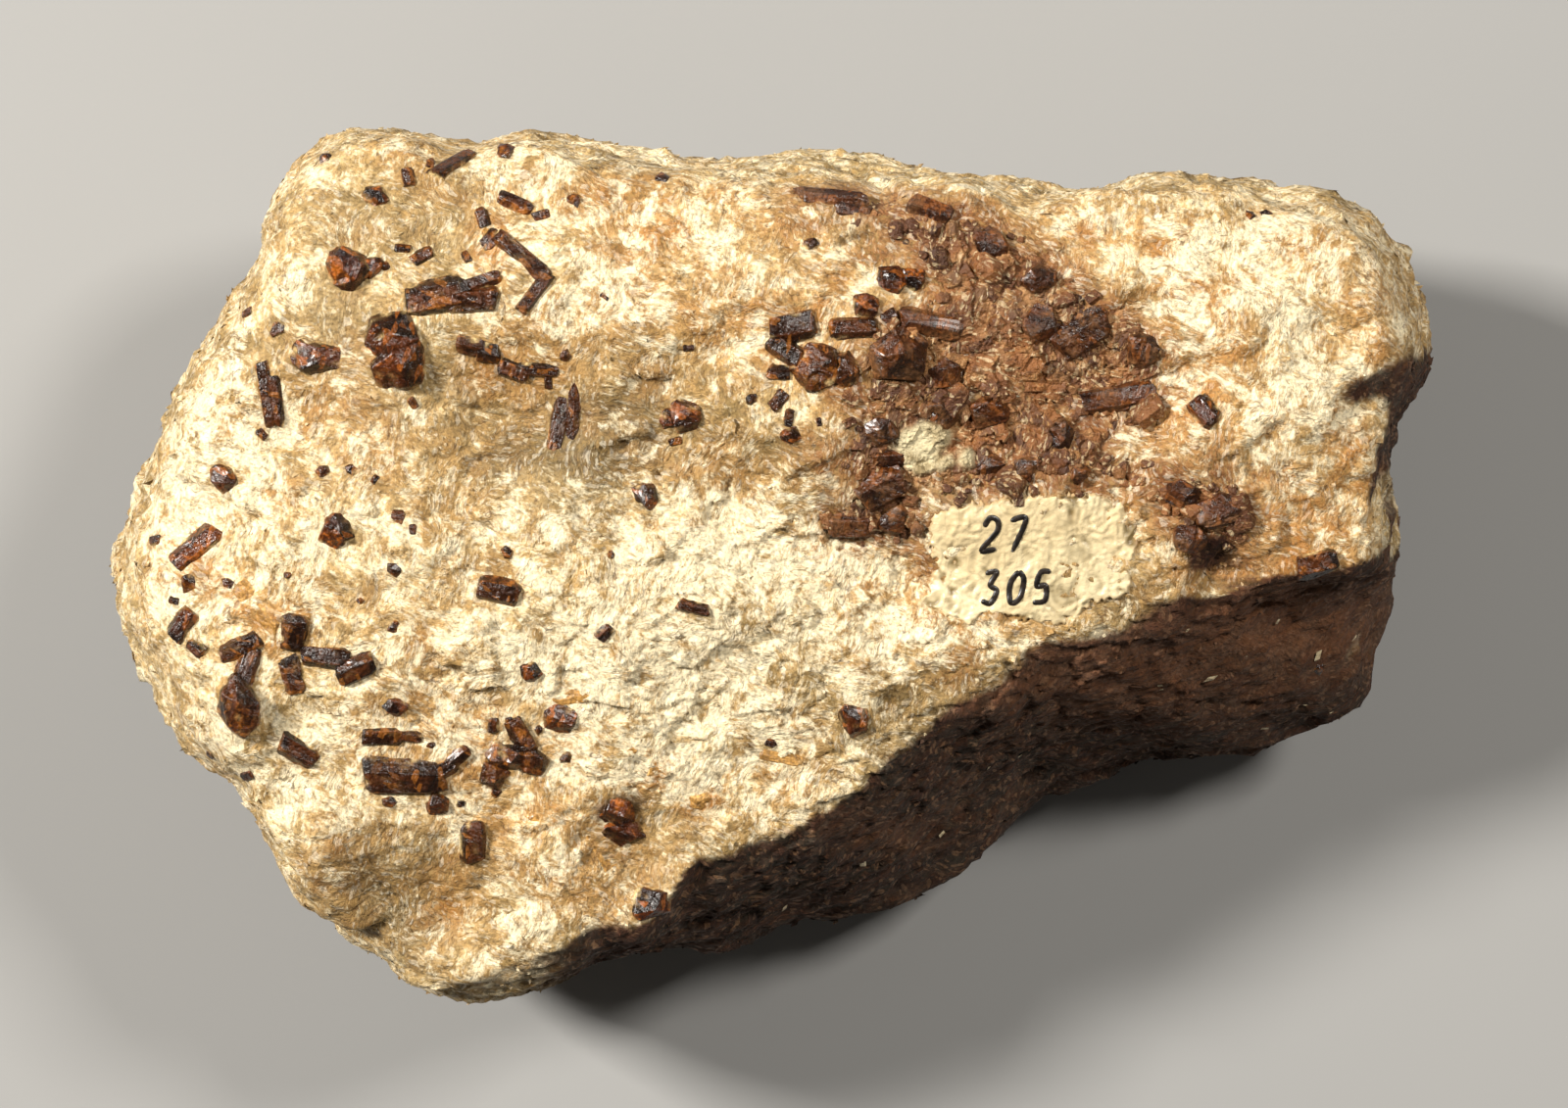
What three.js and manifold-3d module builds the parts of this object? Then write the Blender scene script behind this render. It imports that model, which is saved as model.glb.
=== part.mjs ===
// A hand specimen of sericite: a block of pale, silky mica schist set with brown staurolite
// prisms and garnets, with a rust-brown mass of grown-together crystals on its upper face and
// a thin painted patch for a catalogue number. Millimetres, +Z up, resting on the underside.
import * as THREE from "three";
import { mergeVertices } from "three/addons/utils/BufferGeometryUtils.js";
import Module from "manifold-3d";

const wasm = await Module();
wasm.setup();

// Driving dimensions
const STONE_LENGTH = 120;
const SEAT_GAP = 0.36; // clearance between a crystal and the pocket it sits in
const MASS_PROUD = 0.7; // how far the rusty mass stands above the face
const MASS_DEPTH = 2.4;
const DRAPE_LEVEL = 34; // neither the mass nor the paint reaches below this
const PAINT_PROUD = 0.35;
const PAINT_DEPTH = 0.15;

// Places read from straight above. One pixel of that view is PIXEL mm at the rim's level, and
// things nearer the eye look larger, so a place is worked out for the height it lies at.
const VIEW_MIDDLE = [790, 572];
const RIM_ACROSS = 1322;
const PIXEL = STONE_LENGTH / RIM_ACROSS;
const RIM_LEVEL = 20;
const FACE_LEVEL = 42;
const SHOULDER_LEVEL = 40;
const EYE_ABOVE_RIM = 545;
const HEART = new THREE.Vector3(0, 0, 22); // every ray of the stone's surface starts here
const HALVINGS = 30; // steps of each search for the surface
const RAY_REACH = [4, 90];
const TOP_REACH = [8, 52];
const GOLDEN_TURN = 2.39996;

function seenFromAbove([px, py], level) {
  const nearer = (EYE_ABOVE_RIM + RIM_LEVEL - level) / EYE_ABOVE_RIM;
  return [(px - VIEW_MIDDLE[0]) * PIXEL * nearer, (VIEW_MIDDLE[1] - py) * PIXEL * nearer];
}

// The widest outline, anticlockwise from the right-hand end
const RIM = [
  [1420, 570], [1422, 520], [1418, 470], [1430, 414], [1450, 384], [1451, 352], [1438, 307],
  [1416, 262], [1392, 231], [1360, 207], [1330, 201], [1297, 197], [1230, 188], [1169, 186],
  [1105, 195], [1077, 197], [1026, 184], [960, 181], [890, 173], [831, 169], [760, 171],
  [701, 172], [655, 163], [600, 151], [542, 141], [486, 152], [440, 142], [398, 133],
  [350, 136], [322, 154], [293, 193], [272, 228], [267, 264], [225, 324], [184, 409],
  [153, 479], [134, 546], [130, 590], [140, 649], [169, 699], [211, 768], [253, 802],
  [274, 856], [299, 903], [345, 944], [391, 974], [444, 1005], [502, 1016], [560, 998],
  [627, 973], [690, 970], [735, 975], [796, 948], [848, 943], [918, 931], [971, 899],
  [1009, 860], [1040, 826], [1080, 800], [1137, 781], [1198, 771], [1283, 767], [1332, 747],
  [1386, 722], [1409, 685], [1420, 630],
];

// Where the upper face breaks over into the sides
const SHOULDER = [
  [1398, 560], [1400, 500], [1396, 440], [1412, 405], [1428, 365], [1416, 310], [1392, 262],
  [1350, 226], [1290, 214], [1191, 200], [1077, 211], [1000, 201], [918, 188], [831, 182],
  [760, 184], [655, 177], [545, 158], [451, 160], [372, 150], [338, 166], [308, 203],
  [288, 256], [250, 324], [212, 409], [180, 490], [160, 560], [158, 610], [172, 660],
  [214, 730], [252, 778], [290, 836], [318, 884], [362, 920], [414, 948], [456, 972],
  [508, 984], [560, 972], [612, 950], [668, 930], [706, 876], [722, 856], [790, 830],
  [880, 790], [940, 750], [992, 704], [1010, 664], [1060, 648], [1120, 634], [1172, 614],
  [1240, 600], [1320, 590], [1380, 582],
];

// The breaks of the upper face: each is a plane through a place, with its fall per millimetre
// towards the right and towards the far edge
const BREAKS = [
  { at: [600, 560], level: 42.6, right: 0.0, far: 0.03 },
  { at: [1210, 325], level: 43.2, right: -0.03, far: -0.36 },
  { at: [1210, 345], level: 43.2, right: -0.06, far: 0.22 },
  { at: [240, 600], level: 41.4, right: 0.34, far: 0.02 },
  { at: [430, 850], level: 41.6, right: 0.05, far: 0.3 },
  { at: [420, 210], level: 41.8, right: 0.12, far: -0.16 },
  { at: [880, 720], level: 42.4, right: -0.14, far: 0.2 },
];
const BREAK_SOFTNESS = 1.6;

// Hollows (deep above 0) and swells (deep below 0) of the upper face, along a line or at a spot
const RELIEF = [
  { from: [560, 440], to: [650, 478], reach: 62, deep: 1.8 },
  { from: [760, 525], to: [920, 588], reach: 58, deep: 1.9 },
  { from: [610, 330], to: [820, 260], reach: 80, deep: -0.9 },
  { from: [640, 640], to: [940, 668], reach: 70, deep: -0.7 },
  { from: [470, 385], to: [500, 420], reach: 42, deep: 1.3 },
  { from: [1010, 380], to: [1120, 400], reach: 75, deep: 1.7 },
  { from: [930, 470], to: [990, 460], reach: 45, deep: 0.8 },
  { from: [1244, 584], to: [1246, 590], reach: 24, deep: 2.6 },
  { from: [390, 905], to: [450, 945], reach: 46, deep: 1.9 },
  { from: [325, 860], to: [345, 885], reach: 32, deep: -0.8 },
  { from: [640, 850], to: [655, 905], reach: 28, deep: 0.7 },
  { from: [545, 880], to: [600, 950], reach: 40, deep: -1.0 },
  { from: [1340, 338], to: [1372, 344], reach: 22, deep: 1.2 },
  { from: [1396, 414], to: [1430, 410], reach: 22, deep: 2.2 },
  { from: [1230, 450], to: [1330, 430], reach: 46, deep: -0.9 },
  { from: [170, 640], to: [250, 740], reach: 26, deep: -0.9 },
  { from: [205, 520], to: [190, 540], reach: 20, deep: 0.8 },
  { from: [1140, 330], to: [1180, 318], reach: 30, deep: 1.0 },
];

// The underside: a nearly level break with others rising to the ends, cut by the rest plane
const UNDER_BREAKS = [
  { at: [800, 580], level: -1.1, right: 0.01, far: -0.01 },
  { at: [470, 560], level: 0.6, right: -0.36, far: 0.04 },
  { at: [1130, 560], level: 0.4, right: 0.26, far: 0.03 },
  { at: [760, 330], level: 0.5, right: 0.02, far: 0.42 },
  { at: [860, 760], level: 0.6, right: 0.04, far: -0.32 },
];
const UNDER_SOFTNESS = 1.6;
const EDGE_SOFTNESS = 2.6;
const FOOT_SOFTNESS = 7;

// A closed curve round the heart as its distance for each direction in plan
function roundTheHeart(places, level) {
  const knots = places
    .map((place) => {
      const [x, y] = seenFromAbove(place, level);
      return [Math.atan2(y, x), Math.hypot(x, y)];
    })
    .sort((a, b) => a[0] - b[0]);
  const count = knots.length;
  const turn = 2 * Math.PI;
  const knot = (i) => {
    const wraps = Math.floor(i / count);
    const [angle, far] = knots[i - wraps * count];
    return [angle + wraps * turn, far];
  };
  const slope = (i) => {
    const [a0, r0] = knot(i - 1);
    const [a1, r1] = knot(i + 1);
    return (r1 - r0) / (a1 - a0);
  };
  return (angle) => {
    let i = knots.findIndex(([a]) => a > angle);
    i = i < 0 ? count - 1 : i - 1;
    const [a0, r0] = knot(i);
    const [a1, r1] = knot(i + 1);
    const span = a1 - a0;
    const t = (angle - a0) / span;
    const u = 1 - t;
    const bend = t * u * span * (slope(i) * u - slope(i + 1) * t);
    return r0 * u * u * (1 + 2 * t) + r1 * t * t * (1 + 2 * u) + bend;
  };
}

const rimRadius = roundTheHeart(RIM, RIM_LEVEL);
const shoulderRadius = roundTheHeart(SHOULDER, SHOULDER_LEVEL);

function softMax(a, b, softness) {
  const near = Math.max(softness - Math.abs(a - b), 0) / softness;
  return Math.max(a, b) + (near * near * softness) / 4;
}

const softMin = (a, b, softness) => -softMax(-a, -b, softness);

function planeLevel(plane, x, y) {
  const [px, py] = seenFromAbove(plane.at, plane.level);
  return plane.level + plane.right * (x - px) + plane.far * (y - py);
}

function reliefAt({ from, to, reach, deep }, x, y) {
  const [ax, ay] = seenFromAbove(from, FACE_LEVEL);
  const [bx, by] = seenFromAbove(to, FACE_LEVEL);
  const [dx, dy] = [bx - ax, by - ay];
  const along = ((x - ax) * dx + (y - ay) * dy) / (dx * dx + dy * dy);
  const held = Math.min(Math.max(along, 0), 1);
  const off = Math.hypot(x - ax - held * dx, y - ay - held * dy) / (reach * PIXEL);
  return -deep * Math.exp(-off * off);
}

// Old breaks that take off the lower corners: the way each faces and how far it lies out
const CHOPS = [
  { towards: 88, dip: -48, out: 30.5 },
  { towards: 128, dip: -30, out: 43.5 },
  { towards: 168, dip: -38, out: 49 },
  { towards: 222, dip: -44, out: 43 },
  { towards: 268, dip: -52, out: 33 },
  { towards: 2, dip: -46, out: 45 },
  { towards: 40, dip: -34, out: 50 },
];
const CHOP_SOFTNESS = 1.4;

function chopNormal({ towards, dip }) {
  const [round, down] = [towards, dip].map(THREE.MathUtils.degToRad);
  const level = Math.cos(down);
  return new THREE.Vector3(level * Math.cos(round), level * Math.sin(round), Math.sin(down));
}

const CHOP_FACES = CHOPS.map((chop) => new THREE.Plane(chopNormal(chop), -chop.out));

function faceLevel(x, y) {
  const planes = BREAKS.map((plane) => planeLevel(plane, x, y));
  const level = planes.reduce((low, next) => softMin(low, next, BREAK_SOFTNESS));
  return RELIEF.reduce((sum, form) => sum + reliefAt(form, x, y), level);
}

function underLevel(x, y) {
  return UNDER_BREAKS.map((plane) => planeLevel(plane, x, y)).reduce((high, next) =>
    softMax(high, next, UNDER_SOFTNESS),
  );
}

// The sides lean in from the widest outline to the shoulder, and tuck under below it. On the
// near right the widest outline lies low, so that side is a long slope.
const RIM_HEIGHT = 24;
const RIM_DROP = 14;
const RIM_DROP_TOWARDS = -0.95;
const RIM_DROP_FOCUS = 1.5;
const LEAN = { least: 0.6, highest: 1.4, curve: 1.9, straighter: 0.75 };
const TUCK = { deep: 13, curve: 2.2, less: 0.35 };

function wallRadius(angle, z) {
  const drop = Math.max(0, Math.cos(angle - RIM_DROP_TOWARDS)) ** RIM_DROP_FOCUS;
  const widest = RIM_HEIGHT - RIM_DROP * drop;
  const rim = rimRadius(angle);
  if (z >= widest) {
    const up = Math.min((z - widest) / (SHOULDER_LEVEL - widest), LEAN.highest);
    const lean = Math.max(rim - shoulderRadius(angle), LEAN.least);
    return rim - lean * up ** (LEAN.curve - LEAN.straighter * drop);
  }
  const down = (widest - z) / widest;
  return rim - TUCK.deep * (1 - TUCK.less * drop) * down ** TUCK.curve;
}

// Slow lumps of the broken surface: waves in directions spread evenly over a sphere
const WAVE_COUNT = 14;
const WAVE = { rate: 0.22, growth: 1.13, phase: 1.7, swing: 0.06 };
const WAVES = Array.from({ length: WAVE_COUNT }, (_, i) => {
  const lift = 1 - (2 * i + 1) / WAVE_COUNT;
  const round = i * GOLDEN_TURN;
  const level = Math.sqrt(1 - lift * lift);
  const rate = WAVE.rate * WAVE.growth ** i;
  return {
    way: new THREE.Vector3(level * Math.cos(round), level * Math.sin(round), lift),
    rate,
    phase: i * WAVE.phase,
    swing: WAVE.swing / rate,
  };
});

function lumps(point) {
  return WAVES.reduce(
    (sum, { way, rate, phase, swing }) => sum + swing * Math.sin(rate * way.dot(point) + phase),
    0,
  );
}

// Sheets of mica crop out on the sides as low ledges along their planes, which come and go
const SHEET_NORMAL = new THREE.Vector3(-0.22, 0.2, 1).normalize();
const SHEET_STEP = 5.2;
const SHEET_BEND = { swing: 0.35, rate: 0.11 };
const LEDGE = { high: 0.95, slope: 0.8 };
const LEDGE_FADE = new THREE.Vector3(0.1, -0.13, 0.21); // how fast they come and go each way
const SIDE_BLEND = 3; // the ledges fade out over this distance near the upper face

function ledges(point) {
  const bend = SHEET_BEND.swing * Math.sin(SHEET_BEND.rate * point.x);
  const sheet = SHEET_NORMAL.dot(point) / SHEET_STEP + bend;
  const within = sheet - Math.floor(sheet);
  const shown = (1 + Math.sin(LEDGE_FADE.dot(point))) / 2;
  const profile = Math.min(within / LEDGE.slope, (1 - within) / (1 - LEDGE.slope));
  return shown * LEDGE.high * (profile - 0.5);
}

// Below 0 inside the stone; raised is how far the surface is moved out
function outside(point, raised) {
  const { x, y, z } = point;
  const over = z - faceLevel(x, y);
  const beyond = Math.hypot(x, y) - wallRadius(Math.atan2(y, x), z);
  const beneath = underLevel(x, y) - z;
  const sideways = (beyond - Math.max(over, beneath) + SIDE_BLEND - 1) / SIDE_BLEND;
  const side = THREE.MathUtils.clamp(sideways, 0, 1);
  const middle = point.clone().sub(HEART);
  const broken = CHOP_FACES.reduce(
    (most, face) => softMax(most, face.distanceToPoint(middle), CHOP_SOFTNESS),
    softMax(over, beyond, EDGE_SOFTNESS),
  );
  return softMax(broken, beneath, FOOT_SOFTNESS) + lumps(point) + side * ledges(point) - raised;
}

function surfaceDistance(way, raised) {
  let [near, far] = RAY_REACH;
  const point = new THREE.Vector3();
  for (let step = 0; step < HALVINGS; step++) {
    const middle = (near + far) / 2;
    point.copy(HEART).addScaledVector(way, middle);
    if (outside(point, raised) < 0) near = middle;
    else far = middle;
  }
  return near;
}

const ROUNDNESS = new THREE.Vector3(60, 42, 24);

function stoneSurface(detail, raised) {
  const geometry = new THREE.IcosahedronGeometry(1, detail);
  const place = geometry.getAttribute("position");
  const way = new THREE.Vector3();
  for (let i = 0; i < place.count; i++) {
    way.fromBufferAttribute(place, i).normalize().multiply(ROUNDNESS).normalize();
    const point = HEART.clone().addScaledVector(way, surfaceDistance(way, raised));
    place.setXYZ(i, point.x, point.y, point.z);
  }
  return geometry;
}

// Solids for cutting and joining
function solidOf(geometry) {
  const bare = geometry.clone();
  for (const name of Object.keys(bare.attributes)) {
    if (name !== "position") bare.deleteAttribute(name);
  }
  const merged = mergeVertices(bare, 1e-4);
  return new wasm.Manifold(
    new wasm.Mesh({
      numProp: 3,
      vertProperties: new Float32Array(merged.getAttribute("position").array),
      triVerts: new Uint32Array(merged.index.array),
    }),
  );
}

function geometryOf(solid) {
  const { vertProperties, triVerts } = solid.getMesh();
  const geometry = new THREE.BufferGeometry();
  geometry.setAttribute("position", new THREE.BufferAttribute(vertProperties, 3));
  geometry.setIndex(new THREE.BufferAttribute(triVerts, 1));
  geometry.computeVertexNormals();
  return geometry;
}

const joined = (solids) => solids.reduce((all, next) => all.add(next));

// A cut can leave loose slivers beside the piece: only the piece is kept
const wholePiece = (solid) => solid.decompose().sort((a, b) => b.volume() - a.volume())[0];

// A tall block over a closed outline seen from above, its edges moved out by grow
const COLUMN_HEIGHT = 40;

function columnOver(places, grow) {
  const flat = places.map((place) => new THREE.Vector2(...seenFromAbove(place, FACE_LEVEL)));
  const turn = Math.sign(THREE.ShapeUtils.area(flat));
  const grown = flat.map((point, i) => {
    const before = flat[(i + flat.length - 1) % flat.length];
    const after = flat[(i + 1) % flat.length];
    const out = after.clone().sub(before).normalize().rotateAround(new THREE.Vector2(), -Math.PI / 2);
    return point.clone().addScaledVector(out, turn * grow);
  });
  const column = new THREE.ExtrudeGeometry(new THREE.Shape(grown), {
    depth: COLUMN_HEIGHT,
    bevelEnabled: false,
  });
  column.translate(0, 0, DRAPE_LEVEL - grow);
  return solidOf(column);
}

// Crystals. A prism is a flattened six-sided column with its ends broken or bevelled, a grain is
// a garnet's many-faced ball. Sizes are pixels of the view; turn is anticlockwise from +X.
const TALL = 0.8; // height of a crystal over its width
const SUNK = 0.2; // how much of its height its middle lies below the face
const BEVEL = { ofLength: 0.16, ofWidth: 0.35, tip: 0.72, fromWide: 18 };
const PRISM_RADIUS = 0.54; // a six-sided ring of this radius is about 1 across
const BALL_RADIUS = { grain: 0.535, stub: 0.56 };

function crystalGeometry({ kind, long, wide }, extra) {
  const [length, width] = [long * PIXEL + 2 * extra, wide * PIXEL + 2 * extra];
  const height = wide * TALL * PIXEL + 2 * extra;
  if (kind !== "prism") {
    const Ball = kind === "grain" ? THREE.DodecahedronGeometry : THREE.OctahedronGeometry;
    const ball = new Ball(BALL_RADIUS[kind], 0);
    ball.scale(length, width, height);
    return ball;
  }
  const bevelled = extra === 0 && wide >= BEVEL.fromWide;
  const bevel = Math.min(BEVEL.ofLength * length, BEVEL.ofWidth * width);
  const broken = [[0, -length / 2], [1, -length / 2]];
  const tip = [[1, length / 2 - bevel], [BEVEL.tip, length / 2], [0, length / 2]];
  const square = [[1, length / 2], [0, length / 2]];
  const outline = [...broken, ...(bevelled ? tip : square)];
  const column = new THREE.LatheGeometry(
    outline.map(([r, y]) => new THREE.Vector2(r * PRISM_RADIUS, y)),
    6,
  );
  column.scale(width, 1, height);
  column.rotateZ(-Math.PI / 2);
  return column;
}

const SLOPE_STEP = 1.2; // the surface's slope under a crystal is taken over this distance
const SEAT_REACH = 0.3; // and at this share of its length to each side
const STEEPEST = 0.35;

function outwardAt(point) {
  const slope = ["x", "y", "z"].map((axis) => {
    const [ahead, behind] = [point.clone(), point.clone()];
    ahead[axis] += SLOPE_STEP;
    behind[axis] -= SLOPE_STEP;
    return outside(ahead, 0) - outside(behind, 0);
  });
  return new THREE.Vector3(...slope).normalize();
}

// The way out of the stone under a crystal, taken along its length
function seatNormal(point, angle, reach) {
  const along = new THREE.Vector3(Math.cos(angle), Math.sin(angle), 0).multiplyScalar(reach);
  const ends = [point.clone(), point.clone().add(along), point.clone().sub(along)];
  return ends.reduce((sum, end) => sum.add(outwardAt(end)), new THREE.Vector3()).normalize();
}

// The place on the stone straight under a spot of the view
function onStone(place) {
  let [low, high] = TOP_REACH;
  for (let step = 0; step < HALVINGS; step++) {
    const z = (low + high) / 2;
    const [x, y] = seenFromAbove(place, z);
    if (outside(new THREE.Vector3(x, y, z), 0) < 0) low = z;
    else high = z;
  }
  return new THREE.Vector3(...seenFromAbove(place, low), low);
}

// A crystal in its seat. It lies in the face, turned so that the view shows its turn.
function crystalSolid(crystal, extra) {
  const { at, turn = 0, long, wide, sunk = SUNK } = crystal;
  const point = onStone(at);
  const angle = THREE.MathUtils.degToRad(turn);
  const up = seatNormal(point, angle, SEAT_REACH * long * PIXEL);
  const along = new THREE.Vector3(Math.cos(angle), Math.sin(angle), 0);
  along.z = -along.dot(up) / Math.max(up.z, STEEPEST);
  along.addScaledVector(up, -along.dot(up)).normalize();
  const side = up.clone().cross(along);
  point.addScaledVector(up, -sunk * wide * TALL * PIXEL);
  const place = new THREE.Matrix4().makeBasis(along, side, up).setPosition(point);
  return solidOf(crystalGeometry(crystal, extra).applyMatrix4(place));
}

const STUB = { long: 1.15, wide: 0.85, sunk: 0.05, turn: 50 };
const MASS_SUNK = -0.05; // the mass's own crystals stand out further than the others

const prism = (at, long, wide, turn, more = {}) => ({ kind: "prism", at, long, wide, turn, ...more });
const grain = (at, long, wide, turn = 0, more = {}) => ({ kind: "grain", at, long, wide, turn, ...more });
const stub = (at, long, wide, turn) => ({ kind: "stub", at, long, wide, turn, sunk: STUB.sunk });

// Crystals that are pieces of their own; those grown together share a name
const CRYSTALS = {
  staurolite_far_rim: [prism([463, 167], 50, 19, 35)],
  garnet_far_left: [grain([383, 200], 24, 18, -25)],
  staurolite_by_rim: [prism([526, 207], 31, 15, -25)],
  staurolite_dark_blade: [prism([533, 261], 64, 16, -40), prism([546, 299], 42, 11, 52)],
  garnet_three_cornered: [grain([355, 272], 44, 44, 20), grain([378, 272], 30, 18, 10)],
  staurolite_ridge_group: [
    prism([447, 303], 56, 34, 12),
    prism([484, 305], 44, 24, 6),
    prism([492, 287], 36, 13, 18),
  ],
  garnet_largest: [grain([398, 342], 56, 56, 30), grain([408, 370], 60, 54, -10)],
  garnet_pointed: [grain([321, 364], 50, 37, -8)],
  staurolite_upright_pair: [prism([272, 402], 57, 11, -82), prism([281, 408], 46, 12, -85)],
  garnet_left: [grain([228, 488], 26, 27, 15)],
  staurolite_broken_row: [prism([482, 354], 26, 16, -12), prism([499, 361], 18, 17, -10)],
  staurolite_rusty_row: [prism([524, 378], 26, 20, -20), prism([548, 377], 36, 13, -4)],
  staurolite_twin_blades: [prism([586, 420], 86, 15, 88), prism([571, 431], 54, 15, 80)],
  staurolite_speckled_group: [
    prism([811, 334], 42, 29, 12),
    prism([803, 358], 34, 22, -35),
    grain([834, 375], 52, 46, 10),
    grain([864, 376], 26, 36, 0),
  ],
  garnet_pair: [grain([911, 284], 28, 30, 60), grain([932, 282], 24, 24, 0)],
  garnet_by_pair: [grain([883, 311], 22, 26, 80)],
  staurolite_level_bar: [prism([872, 334], 42, 18, 2)],
  garnet_stalk_lower: [grain([806, 444], 18, 17, 0)],
  garnet_centre: [grain([699, 424], 32, 32, 15), grain([683, 427], 18, 17, 0)],
  garnet_six_sided: [grain([659, 506], 24, 26, 40)],
  garnet_dark: [grain([345, 541], 38, 32, 10)],
  staurolite_short: [prism([510, 602], 37, 27, -12)],
  garnet_near_left: [prism([186, 637], 28, 20, 60)],
  staurolite_left_chain: [
    prism([247, 660], 38, 20, 24),
    prism([252, 681], 50, 22, 72),
    grain([246, 718], 40, 62, 10),
  ],
  garnet_left_patch: [prism([201, 557], 50, 24, 38)],
  staurolite_red: [prism([301, 645], 30, 26, 80)],
  staurolite_grey_column: [prism([299, 690], 34, 17, -78)],
  staurolite_wedge: [prism([333, 670], 42, 20, -6), prism([363, 682], 34, 23, 22)],
  garnet_small_right: [grain([542, 686], 21, 17, 0)],
  garnet_granular: [grain([572, 734], 34, 27, -25)],
  staurolite_winged: [prism([391, 752], 34, 19, 2), prism([416, 751], 24, 10, -8)],
  garnet_on_stem: [grain([404, 721], 22, 18, 0)],
  staurolite_tabular: [prism([305, 767], 38, 22, -30)],
  staurolite_largest: [
    prism([412, 793], 74, 35, -2),
    prism([452, 785], 28, 15, 30),
    prism([467, 773], 24, 12, 40),
  ],
  garnet_round: [grain([447, 821], 21, 21, 0)],
  staurolite_barrel: [prism([482, 859], 36, 25, 88)],
  staurolite_crumbled_group: [
    prism([531, 752], 36, 20, -60),
    grain([519, 772], 42, 34, 0),
    grain([544, 776], 36, 30, 0),
    grain([504, 792], 34, 24, -30),
  ],
  garnet_lower_pair: [grain([630, 828], 38, 32, -10), grain([636, 848], 48, 28, -5)],
  garnet_on_edge: [grain([664, 922], 40, 32, 15)],
  garnet_by_shoulder: [grain([871, 734], 28, 37, 5)],
  staurolite_needle: [prism([708, 620], 26, 9, -15, { sunk: 0 })],
  garnet_right: [prism([1229, 420], 27, 20, -50)],
  staurolite_right_end: [prism([1344, 575], 36, 24, 15)],
};

// Small crystals and stubs that stay part of the stone
const STUBS = [
  [417, 180, 16], [332, 161, 15], [553, 220, 14], [585, 204, 16], [493, 222, 16], [500, 244, 20],
  [431, 261, 18], [283, 336, 14], [676, 182, 17], [795, 409, 17], [805, 426, 14], [795, 381, 18],
  [407, 527, 14], [402, 581, 17], [192, 595, 18], [200, 661, 16], [1346, 683, 15], [618, 646, 14],
];

// The rusty mass: its outline on the face, and the larger crystals that stand out of it
const MASS_OUTLINE = [
  [806, 197], [846, 195], [892, 203], [920, 204], [955, 211], [985, 222], [1030, 240],
  [1072, 268], [1100, 300], [1140, 318], [1168, 336], [1184, 366], [1182, 404], [1150, 440],
  [1128, 462], [1180, 486], [1250, 492], [1280, 520], [1274, 552], [1240, 556], [1200, 530],
  [1172, 520], [1160, 497], [1100, 492], [1040, 492], [980, 498], [940, 508], [936, 552],
  [886, 554], [844, 548], [846, 524], [862, 500], [850, 470], [872, 430], [880, 398],
  [886, 360], [904, 330], [950, 312], [958, 290], [946, 268], [932, 250], [890, 238], [846, 214],
];
const MASS_CRYSTALS = [
  grain([914, 364], 62, 56, 30), prism([952, 330], 62, 24, -12), prism([1140, 405], 78, 32, 10),
  prism([868, 536], 44, 24, 0), prism([916, 466], 46, 20, 4), prism([900, 496], 44, 40, 30),
  grain([1082, 442], 26, 32, 0), grain([1101, 482], 22, 20, 0), grain([1010, 474], 30, 24, 10),
  grain([1050, 476], 30, 26, 50), grain([1166, 356], 34, 34, 15), prism([1106, 340], 56, 36, 35),
  grain([1060, 330], 40, 32, 60), grain([964, 380], 36, 30, 15), grain([960, 420], 40, 30, -20),
  grain([1010, 420], 44, 34, 10), prism([950, 214], 40, 20, -20), prism([850, 202], 66, 18, -6),
  grain([1010, 250], 38, 30, -40), grain([1060, 285], 34, 28, 10), grain([900, 440], 34, 30, 0),
  grain([1244, 522], 50, 36, 10), grain([1206, 504], 32, 26, 0), grain([912, 530], 34, 28, 25),
  grain([1214, 550], 34, 30, 0), prism([871, 216], 32, 16, -8),
];

// The painted patch
const PAINT_OUTLINE = [
  [950, 520], [985, 512], [1030, 508], [1075, 503], [1110, 503], [1145, 507], [1160, 523],
  [1164, 540], [1160, 570], [1158, 598], [1150, 610], [1115, 616], [1100, 634], [1078, 640],
  [1050, 636], [1030, 628], [1002, 630], [990, 640], [960, 628], [930, 622], [946, 600],
  [952, 575], [946, 545],
];

const COLOURS = {
  sericite: new THREE.MeshStandardMaterial({ color: "#d9bd8a", roughness: 0.62, metalness: 0 }),
  staurolite: new THREE.MeshStandardMaterial({ color: "#4a2614", roughness: 0.38, metalness: 0 }),
  garnet: new THREE.MeshStandardMaterial({ color: "#3b1c12", roughness: 0.3, metalness: 0 }),
  rust: new THREE.MeshStandardMaterial({ color: "#7d4a26", roughness: 0.6, metalness: 0 }),
  paint: new THREE.MeshStandardMaterial({ color: "#eddcae", roughness: 0.5, metalness: 0 }),
};

function named(name, solid, material) {
  const mesh = new THREE.Mesh(geometryOf(solid), material);
  mesh.name = name;
  return mesh;
}

const DETAIL = 10; // how finely the stone's surface is split
const FLOOR = { wide: 200, deep: 40 };
const MASS_SEAT_GAP = 1.4 * SEAT_GAP;

const surface = (raised) => solidOf(stoneSurface(DETAIL, raised));

function stubSolid([px, py, across], i) {
  return crystalSolid(stub([px, py], across * STUB.long, across * STUB.wide, i * STUB.turn), 0);
}

// The whole block on its level rest face, with its stubs
function bareStone() {
  const floor = new THREE.BoxGeometry(FLOOR.wide, FLOOR.wide, FLOOR.deep);
  floor.translate(0, 0, -FLOOR.deep / 2);
  return joined([surface(0).subtract(solidOf(floor)), ...STUBS.map(stubSolid)]);
}

function paintCoat() {
  const column = columnOver(PAINT_OUTLINE, 0);
  return wholePiece(column.intersect(surface(PAINT_PROUD)).subtract(surface(-PAINT_DEPTH)));
}

function paintSeat() {
  return columnOver(PAINT_OUTLINE, SEAT_GAP).subtract(surface(-PAINT_DEPTH - SEAT_GAP));
}

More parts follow.
